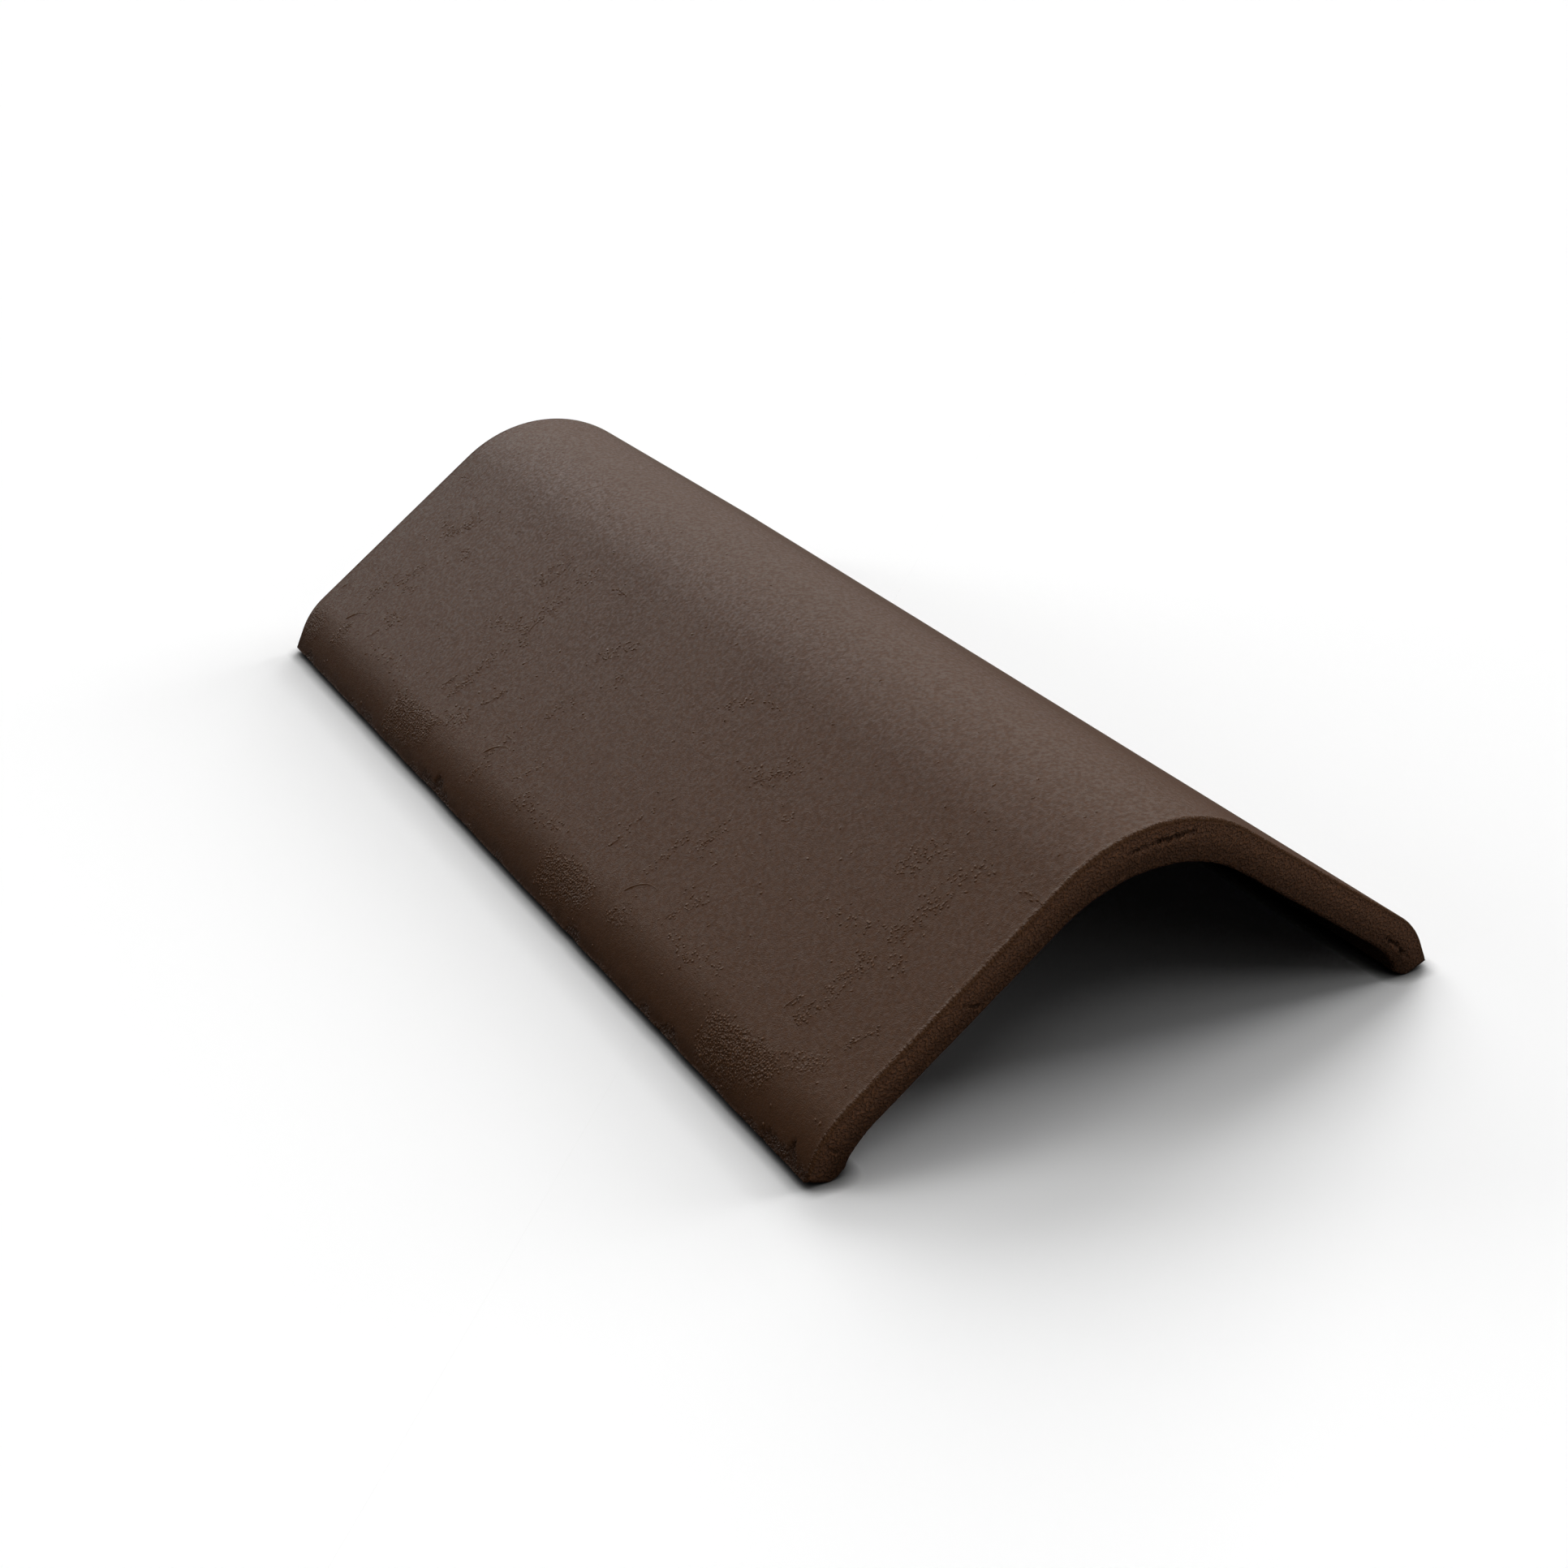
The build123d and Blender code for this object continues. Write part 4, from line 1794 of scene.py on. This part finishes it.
@dataclass(frozen=True)
class Lamp:
    """A soft distant light.

    Attributes:
        name: the lamp's name.
        lights: what it lights.
        azimuth: where it stands, in degrees from +Y towards +X.
        elevation: its height, in degrees above the floor.
        strength: the share of full light that it gives a surface that faces it.
        spread: its apparent size, in degrees.
    """

    name: str
    lights: Lights
    azimuth: float
    elevation: float
    strength: float
    spread: float = 26.0

    def build(self, floor: bpy.types.Object) -> None:
        """Adds the lamp to the scene.

        Args:
            floor: the floor, which the lamp either lights alone or leaves out.
        """
        turn, rise = math.radians(self.azimuth), math.radians(self.elevation)
        across = math.cos(rise)
        towards = Vector((math.sin(turn) * across, math.cos(turn) * across, math.sin(rise)))
        lamp = bpy.data.lights.new(self.name, "SUN")
        lamp.energy = self.strength * math.pi
        lamp.angle = math.radians(self.spread)
        holder = bpy.data.objects.new(self.name, lamp)
        holder.rotation_euler = towards.to_track_quat("Z", "Y").to_euler()
        holder.location = towards
        bpy.context.scene.collection.objects.link(holder)
        receivers = bpy.data.collections.new("lit_by_" + self.name)
        receivers.objects.link(floor)
        state = "INCLUDE" if self.lights is Lights.FLOOR else "EXCLUDE"
        receivers.collection_objects[0].light_linking.link_state = state
        holder.light_linking.receiver_collection = receivers


@dataclass(frozen=True)
class Studio:
    """Plain pale floor, soft lamps and the camera.

    Attributes:
        lamps: the soft lamps.
        ambient: strength of the even light from all round.
        camera_place: the camera's place, in metres.
        camera_turn: the way it looks, in degrees from +Y towards +X.
        camera_fall: how far it looks down, in degrees.
        lens: focal length, in millimetres.
        film: width of the camera's frame, in millimetres.
        bounce: share of light that the floor sends back up to the tile.
        floor_size: width of the floor, in metres.
        contact_reach: how far from the tile its contact shadow runs, in metres.
        contact_depth: how strongly the contact shadow deepens, as a power of the open sky.
    """

    lamps: tuple[Lamp, ...] = (
        Lamp("back_low", Lights.TILE, 2.0, 10.0, 0.29),
        Lamp("back", Lights.TILE, 2.0, 32.0, 0.32),
        Lamp("right_back", Lights.TILE, 45.0, 34.0, 0.43, 34.0),
        Lamp("right_top", Lights.TILE, 60.0, 70.0, 0.25, 34.0),
        Lamp("front_low", Lights.TILE, 180.0, 10.0, 0.29),
        Lamp("right_front", Lights.TILE, 135.0, 10.0, 0.17),
        Lamp("left_low", Lights.TILE, 270.0, 27.0, 0.16),
        Lamp("left_top", Lights.TILE, 225.0, 70.0, 0.06),
        Lamp("floor_back", Lights.FLOOR, 0.0, 36.0, 0.15, 34.0),
        Lamp("floor_right_back", Lights.FLOOR, 45.0, 33.0, 0.58, 34.0),
        Lamp("floor_right_top", Lights.FLOOR, 45.0, 70.0, 0.09),
        Lamp("floor_right", Lights.FLOOR, 92.0, 29.0, 0.39),
        Lamp("floor_left_low", Lights.FLOOR, 315.0, 10.0, 0.36),
        Lamp("floor_left_back", Lights.FLOOR, 315.0, 55.0, 0.19),
        Lamp("floor_left_top", Lights.FLOOR, 205.0, 65.0, 0.06),
        Lamp("floor_left", Lights.FLOOR, 270.0, 30.0, 0.05),
        Lamp("floor_front", Lights.FLOOR, 145.0, 27.0, 0.030, 48.0),
    )
    ambient: float = 0.02
    camera_place: tuple[float, float, float] = (-0.3592, -0.6222, 0.3706)
    camera_turn: float = 30.0
    camera_fall: float = 27.18
    lens: float = 50.27
    film: float = 36.0
    bounce: float = 0.02
    floor_size: float = 40.0
    contact_reach: float = 6.0 * MM
    contact_depth: float = 2.4

    def build(self) -> None:
        """Adds the floor, the lamps, the even light and the camera."""
        self._camera()
        floor = self._floor()
        for lamp in self.lamps:
            lamp.build(floor)
        world = bpy.data.worlds.new("even_light")
        world.use_nodes = True
        nodes = Nodes(world.node_tree)
        seen = nodes.seen()
        lit = nodes.add("ShaderNodeBackground", {"Color": WHITE, "Strength": self.ambient})
        white = nodes.add("ShaderNodeBackground", {"Color": WHITE, "Strength": 1.0})
        both = nodes.add("ShaderNodeMixShader", {0: seen, 1: lit.outputs[0], 2: white.outputs[0]})
        nodes.add("ShaderNodeOutputWorld", {"Surface": both.outputs[0]})
        scene = bpy.context.scene
        scene.world = world
        scene.view_settings.view_transform = "Standard"

    def _camera(self) -> None:
        """Adds the camera."""
        camera = bpy.data.cameras.new("camera")
        camera.sensor_width = self.film
        camera.lens = self.lens
        holder = bpy.data.objects.new("camera", camera)
        tilt = math.radians(90.0 - self.camera_fall)
        holder.matrix_world = (
            Matrix.Translation(self.camera_place)
            @ Matrix.Rotation(-math.radians(self.camera_turn), 4, "Z")
            @ Matrix.Rotation(tilt, 4, "X")
        )
        bpy.context.scene.collection.objects.link(holder)
        bpy.context.scene.camera = holder

    def _floor(self) -> bpy.types.Object:
        """Adds the pale floor, which keeps the tile's shadow and sends little light back up."""
        half = self.floor_size / 2.0
        mesh = bpy.data.meshes.new("floor")
        corners = [(-half, -half, 0.0), (half, -half, 0.0), (half, half, 0.0), (-half, half, 0.0)]
        mesh.from_pydata(corners, [], [(0, 1, 2, 3)])
        material = bpy.data.materials.new("pale_floor")
        material.use_nodes = True
        nodes = Nodes(material.node_tree)
        seen = nodes.seen()
        open_sky = nodes.add("ShaderNodeAmbientOcclusion", {"Distance": self.contact_reach}).outputs["AO"]
        shade = nodes.math("POWER", open_sky, self.contact_depth)
        tone = nodes.mix(shade, BLACK, WHITE)
        pale = nodes.add("ShaderNodeBsdfDiffuse", {"Color": tone})
        dull = (self.bounce, self.bounce, self.bounce, 1.0)
        quiet = nodes.add("ShaderNodeBsdfDiffuse", {"Color": dull})
        both = nodes.add("ShaderNodeMixShader", {0: seen, 1: quiet.outputs[0], 2: pale.outputs[0]})
        nodes.add("ShaderNodeOutputMaterial", {"Surface": both.outputs[0]})
        mesh.materials.append(material)
        floor = bpy.data.objects.new("floor", mesh)
        bpy.context.scene.collection.objects.link(floor)
        return floor


CRUMB_REACHES = {Side.LEFT: 140.0, Side.RIGHT: 14.0}  # how far up each slope the crumbs lie, in millimetres
BODY_FINISH = ConcreteFinish("dark_brown_concrete")
# The crumbs are a little lighter than the outer face: a painted highlight on their tops
LIGHTENED_CRUMB_FINISH = ConcreteFinish(
    "brown_crumbs_painted_highlight", sealed=(0.084, 0.0300, 0.0065), sealed_dark=(0.064, 0.0212, 0.0034)
)


def declare(piece: bpy.types.Object) -> None:
    """Says that a piece rides on the tile's body, and reports its triangles."""
    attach(piece, BODY)
    triangles = sum(len(polygon.vertices) - 2 for polygon in piece.data.polygons)
    log.info("%s: %d triangles", piece.name, triangles)


def main() -> None:
    """Builds the studio and the tile's pieces in order."""
    logging.basicConfig(level=logging.INFO, format="%(name)s %(message)s")
    Studio().build()
    low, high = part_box(NODE)
    section = Section(width=high.x - low.x, length=high.y - low.y)
    grain = SandyGrain().group()
    nubs = RimNubs().group()
    finish = BODY_FINISH.material(grain, nubs)
    crumb_finish = LIGHTENED_CRUMB_FINISH.material(grain, nubs)
    body = TileBody(section).build()
    body.data.materials.append(finish)
    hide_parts(NODE)
    declare(body)
    face = OuterFace(section)
    scatter = SurfaceCrumbs.tree()
    for side, highest in CRUMB_REACHES.items():
        declare(SurfaceCrumbs(face, side, highest).build(scatter, crumb_finish))
    declare(BurrLines(face, Side.LEFT).build(BurrLines.tree(), crumb_finish))


if __name__ == "__main__":
    main()
